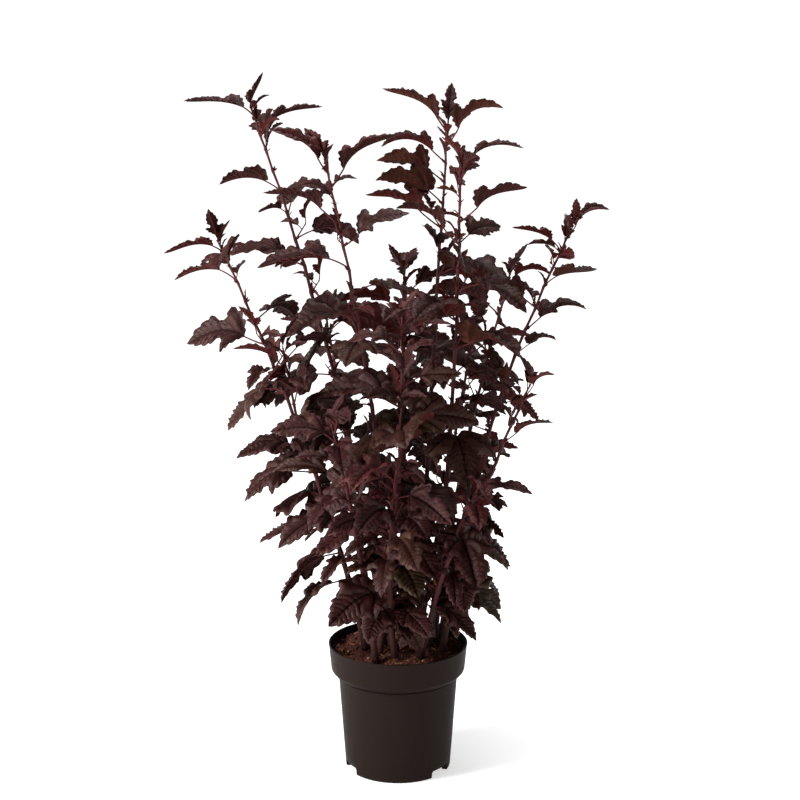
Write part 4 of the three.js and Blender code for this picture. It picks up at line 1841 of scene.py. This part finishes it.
@dataclass
class NurseryPot:
    """The round pot with its stepped rim, raised floor and foot arches."""

    height: float = 178
    rim_radius: float = 95
    rim_foot_radius: float = 91.5
    rim_depth: float = 36
    shoulder_drop: float = 9
    groove_depth: float = 1.4
    body_top_radius: float = 81.5
    foot_radius: float = 72
    foot_round: float = 2.3
    wall: float = 1.8
    floor_bottom: float = 12
    floor_thickness: float = 2.2
    foot_flat: float = 5
    notch_angles: tuple[float, ...] = (-157, -35, 85)
    notch_width: float = 38
    notch_height: float = 10
    notch_round: float = 5
    notch_end: float = 11
    columns: int = 240

    def __post_init__(self) -> None:
        """Work out the heights where the wall changes."""
        self.rim_foot = self.height - self.rim_depth
        self.body_top = self.rim_foot - self.shoulder_drop
        self.floor_top = self.floor_bottom + self.floor_thickness
        self.inner_knees = (self.body_top, self.body_top + 2, self.rim_foot + 1)

    def _angles(self) -> np.ndarray:
        """Spread columns round the pot, closer at the sides of the foot arches.

        Returns:
            Their compass angles.
        """
        half = self.notch_width / 2 / self.foot_radius
        corner = self.notch_round / self.foot_radius
        inward = np.array([-0.002, 0.0, *(corner * np.linspace(0.05, 1, 6))])
        extra = [math.radians(degrees) + side * (half - inward)
                 for degrees in self.notch_angles for side in (-1, 1)]
        every = np.concatenate([circle(self.columns), np.mod(np.concatenate(extra), 2 * math.pi)])
        return np.unique(np.round(every, 5))

    def _arch(self, angles: np.ndarray) -> np.ndarray:
        """Give the height of the foot's lower edge at each column.

        Args:
            angles: compass angles of the columns.

        Returns:
            The heights.
        """
        made = np.zeros(len(angles))
        for degrees in self.notch_angles:
            off = np.abs((angles - math.radians(degrees) + math.pi) % (2 * math.pi) - math.pi)
            inward = self.notch_width / 2 - off * self.foot_radius
            ease = np.clip(inward / self.notch_round, 0, 1)
            curve = self.notch_height - self.notch_round * (1 - np.sqrt(1 - (1 - ease) ** 2))
            made = np.where(inward > 0, np.maximum(made, curve), made)
        return made

    def _arc(self, radius: float, height: float, size: tuple[float, float],
             degrees: Sequence[int]) -> list[tuple[float, float]]:
        """Run round part of an ellipse of the section, from straight outward at 0 degrees."""
        return [(radius + size[0] * math.cos(math.radians(turn)),
                 height + size[1] * math.sin(math.radians(turn))) for turn in degrees]

    def _profile(self) -> list[tuple[float, float]]:
        """Run round the section, from the middle of the floor's underside to that of its top.

        Returns:
            Radius and height of each corner.
        """
        lean = (self.body_top_radius - self.foot_radius) / self.body_top
        body_top, rim_foot, foot_radius = self.body_top, self.rim_foot, self.foot_radius
        inner_foot = foot_radius - 3 - self.foot_flat
        sole = foot_radius - 2.2
        made = [(0.0, self.floor_bottom), (20.0, self.floor_bottom),
                (inner_foot, self.floor_bottom), (inner_foot, 0.6), (inner_foot + 0.6, 0.0),
                (sole, 0.0)]
        made += self._arc(sole, self.foot_round, (self.foot_round,) * 2, (-60, -30, 0))
        made += [(foot_radius + lean * height, float(height))
                 for height in (6.0, self.notch_end, *np.linspace(20.0, body_top - 2.0, 8))]
        groove = self.body_top_radius - self.groove_depth
        made += [(self.body_top_radius - 0.1, body_top - 1.7), (groove, body_top - 1.4),
                 (groove, body_top - 0.1), (self.body_top_radius, body_top + 0.3),
                 (self.body_top_radius + 1.0, body_top + 1.2),
                 (self.body_top_radius + 5.2, body_top + 2.6),
                 (self.rim_foot_radius - 2.4, rim_foot - 3.0),
                 (self.rim_foot_radius - 0.8, rim_foot - 1.7),
                 (self.rim_foot_radius, rim_foot + 0.2),
                 (self.rim_foot_radius + 0.2, rim_foot + 2.0)]
        top = self.height - 1.4
        made.append((self.rim_radius - 0.3, top - 1.6))
        made += self._arc(self.rim_radius - self.wall / 2 - 0.1, top, (1.2, 1.4),
                          range(0, 181, 30))
        made.append((self.rim_radius - self.wall - 0.5, top - 2.5))
        made += [(self.inner_radius(height), height)
                 for height in (*reversed(self.inner_knees[1:]), self.floor_top)]
        return made + [(0.0, self.floor_top)]

    def inner_radius(self, height: float) -> float:
        """Give the radius of the inside of the wall at a height.

        Args:
            height: the height above the ground.

        Returns:
            The radius.
        """
        radii = (self.foot_radius, self.body_top_radius, self.body_top_radius,
                 self.rim_foot_radius, self.rim_radius)
        return float(np.interp(height, (0, *self.inner_knees, self.height), radii)) - self.wall

    def build(self) -> bpy.types.Object:
        """Turn the section round the pot's axis, with the arches cut into its foot.

        Returns:
            The piece.
        """
        angles = self._angles()
        arch = self._arch(angles)
        end = self.notch_end
        profile = [(radius, arch + (end - arch) * height / end if height < end else height)
                   for radius, height in self._profile()]
        batch = MeshBatch("nursery_pot")
        batch.add(turned(profile, angles), PotFinish.WALL)
        return batch.build(PotFinish)


def ball() -> PointsAndFaces:
    """Make a ball with a radius of 1 from twenty triangles.

    Returns:
        Points and triangles.
    """
    golden = (1 + math.sqrt(5)) / 2
    edge = 2.1
    row = np.array([(-1, golden, 0), (1, golden, 0), (-1, -golden, 0), (1, -golden, 0)])
    corners = np.concatenate([np.roll(row, turn, axis=1) for turn in range(3)])
    faces = []
    for trio in combinations(range(len(corners)), 3):
        a, b, c = corners[list(trio)]
        if max(np.linalg.norm(side) for side in (a - b, b - c, c - a)) < edge:
            faces.append(trio if np.linalg.det([a, b, c]) > 0 else trio[::-1])
    return corners / np.linalg.norm(corners[0]), np.array(faces)


@dataclass
class PottingSoil:
    """Moist peat with coir, whose rough top lies under the rim."""

    top: float
    pot: NurseryPot
    play: float = 0.3
    crumbs: int = 1500
    fibres: int = 260
    columns: int = 150
    rings: int = 60
    waves: int = 70
    rough: float = 0.012
    sunk: float = 1.2

    def __post_init__(self) -> None:
        """Work out the radius of the rough top."""
        self.radius = self.pot.inner_radius(self.top) - self.play

    def _relief(self, places: np.ndarray) -> np.ndarray:
        """Give the height of the rough top.

        Args:
            places: places on it.

        Returns:
            The heights above its level.
        """
        draw = np.random.default_rng(31)
        made = np.zeros(len(places))
        for _ in range(self.waves):
            wave = draw.uniform(5, 60)
            push = places @ compass(draw.uniform(0, 2 * math.pi))[:2]
            phase = draw.uniform(0, 2 * math.pi)
            made += self.rough * wave * np.sin(2 * math.pi * push / wave + phase)
        return made

    def plug(self) -> bpy.types.Object:
        """Make the filling itself.

        Returns:
            The piece.
        """
        angles = circle(self.columns)
        around = np.stack([np.cos(angles), np.sin(angles)], -1)
        profile = []
        for radius in self.radius * np.linspace(0, 1, self.rings):
            share = min(1.0, (self.radius - radius) / 12 + 0.35)
            relief = self._relief(radius * around) * share
            profile.append((radius, self.top - self.sunk + relief))
        floor = self.pot.floor_top + self.play
        profile += [(self.pot.inner_radius(height) - self.play, height)
                    for height in (*reversed(self.pot.inner_knees), floor)]
        points, faces = turned([*profile, (0.0, floor)], angles)
        batch = MeshBatch("soil_filling")
        batch.add((points, faces[:, ::-1]), Earth.PEAT)
        return batch.build(Earth)

    def bits(self) -> bpy.types.Object:
        """Strew crumbs, chips and fibres over the top.

        Returns:
            The piece.
        """
        draw = np.random.default_rng(47)
        batch = MeshBatch("soil_bits")
        corners, faces = ball()
        for _ in range(self.crumbs):
            place = self._spot(draw, 3)
            size = 0.7 + 2.2 * draw.random() ** 2.5
            shape = corners * size * draw.uniform(0.45, 1.25, 3) * draw.uniform(0.75, 1.2, (12, 1))
            turn, _ = np.linalg.qr(draw.normal(size=(3, 3)))
            if np.linalg.det(turn) < 0:
                turn[:, 0] *= -1
            kind = draw.choice([Earth.PEAT, Earth.COIR, Earth.STRAW], p=[0.62, 0.33, 0.05])
            batch.add((shape @ turn.T + place, faces), kind)
        t = np.linspace(-0.5, 0.5, 7)
        for _ in range(self.fibres):
            place = self._spot(draw, 14)
            turn, bend = draw.uniform(0, 2 * math.pi), draw.uniform(-1.6, 1.6)
            length = draw.uniform(6, 19)
            heading = turn + bend * t
            line = np.column_stack([np.cumsum(np.cos(heading)), np.cumsum(np.sin(heading)),
                                    draw.uniform(-1, 1) * t * 3])
            line = (line - line.mean(axis=0)) * length / len(t) + place
            line[:, 2] += 0.8 - 5 * t ** 2 * draw.random()
            shape = tube(line, np.full(len(t), draw.uniform(0.16, 0.42)), 4)
            batch.add(shape, draw.choice([Earth.COIR, Earth.STRAW], p=[0.7, 0.3]))
        return batch.build(Earth, smooth=False)

    def _spot(self, draw: np.random.Generator, margin: float) -> np.ndarray:
        """Pick a place on the rough top.

        Args:
            draw: the seeded numbers.
            margin: how far it stays from the edge.

        Returns:
            The place.
        """
        reach = (self.radius - margin) * math.sqrt(draw.random())
        flat = reach * compass(draw.uniform(0, 2 * math.pi))[:2]
        return np.array([*flat, self.top - 1.0 + self._relief(flat[None])[0]])


@dataclass(frozen=True)
class Lamp:
    """A round soft light, and the height over the pot's foot that it looks at. Metres, watts."""

    name: str
    place: tuple[float, float, float]
    size: float
    energy: float
    aim: float = 0.45


@dataclass
class Studio:
    """Pale floor, soft lights and the camera, in metres."""

    distance: float = 2.4
    height: float = 1.035
    side: float = 0.0027
    pitch: float = 12.2
    lens: float = 82.9
    horizon: float = 36.0
    floor_sides: int = 72
    ambient: float = 0.22
    lamps: tuple[Lamp, ...] = (
        Lamp("key_light", (-2.5, -1.15, 2.1), 0.9, 110.0),
        Lamp("top_light", (0.2, 0.4, 2.9), 1.3, 42.0),
        Lamp("fill_light", (2.2, -1.6, 1.2), 1.8, 1.0),
        Lamp("low_light", (-1.6, -1.1, 0.35), 0.6, 16.0, 0.15),
    )

    def floor(self) -> bpy.types.Object:
        """Lay a round floor that reaches to the horizon and rises beyond it.

        Returns:
            The floor.
        """
        profile = [(radius, 0.0) for radius in (0.0, 0.4, 1.0, 3.0, 10.0, self.horizon)]
        profile.append((1.2 * self.horizon, 0.2 * self.horizon))
        points, faces = turned(profile, circle(self.floor_sides))
        batch = MeshBatch("floor", metres=True)
        batch.add((points, faces[:, ::-1]), StageFinish.FLOOR)
        return batch.build(StageFinish)

    def light(self, lamp: Lamp) -> None:
        """Set up one soft light that looks at the plant.

        Args:
            lamp: the light.
        """
        made = bpy.data.lights.new(lamp.name, "AREA")
        made.shape, made.size, made.energy = "DISK", lamp.size, lamp.energy
        stand = stood(lamp.name, made)
        stand.location = lamp.place
        towards = Vector(FOOT + lamp.aim * UP) - stand.location
        stand.rotation_euler = towards.to_track_quat("-Z", "Y").to_euler()

    def world(self) -> None:
        """Surround everything with even white light."""
        world = bpy.data.worlds.new("studio")
        world.use_nodes = True
        backdrop = world.node_tree.nodes["Background"]
        backdrop.inputs["Color"].default_value = (1.0, 1.0, 1.0, 1.0)
        backdrop.inputs["Strength"].default_value = self.ambient
        bpy.context.scene.world = world

    def camera(self) -> None:
        """Stand the camera in front of the plant, looking a little down."""
        lens = bpy.data.cameras.new("camera")
        lens.lens = self.lens
        lens.sensor_width = 36.0
        made = stood("camera", lens)
        made.location = (FOOT[0] + self.side, FOOT[1] - self.distance, self.height)
        made.rotation_euler = (math.radians(90 - self.pitch), 0.0, 0.0)
        bpy.context.scene.camera = made

    def build(self) -> bpy.types.Object:
        """Set up the whole studio.

        Returns:
            The floor.
        """
        for lamp in self.lamps:
            self.light(lamp)
        self.world()
        self.camera()
        bpy.context.scene.view_settings.view_transform = "Standard"
        return self.floor()


def settle(piece: bpy.types.Object, slot: str, *nodes: str) -> None:
    """Let a piece ride on the plant and stand for its solids.

    Args:
        piece: the piece.
        slot: a material slot of the record; not used.
        nodes: the solids that it replaces.
    """
    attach(piece, "root")
    if nodes:
        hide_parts(*nodes)
    log.info("%s: %d faces", piece.name, len(piece.data.polygons))


def main() -> None:
    """Build the potted plant and its studio."""
    logging.basicConfig(level=logging.INFO, format="%(message)s")
    soil_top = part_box("potting_soil")[1][2] / MM
    pot = NurseryPot()
    settle(pot.build(), "pot", "pot")
    soil = PottingSoil(soil_top, pot)
    settle(soil.plug(), "soil", "potting_soil")
    settle(soil.bits(), "soil")

    *canes, branch = Growth(soil_top + CLEARANCE).grow()
    wood, stalks, foliage = Canes(), Stalks(), Foliage()
    for cane in canes:
        name = cane.plan.name
        growing = [cane, branch] if name == BRANCH_FROM[0] else [cane]
        settle(wood.build(growing), "bark", f"cane_{name}")
        settle(stalks.build(growing), "bark")
        settle(foliage.build(growing), "leaves",
               f"foliage_{name}_lower", f"foliage_{name}_upper")
    log.info("leaves in all: %d", sum(len(stem.leaves) for stem in (*canes, branch)))

    Studio().build()


if __name__ == "__main__":
    main()
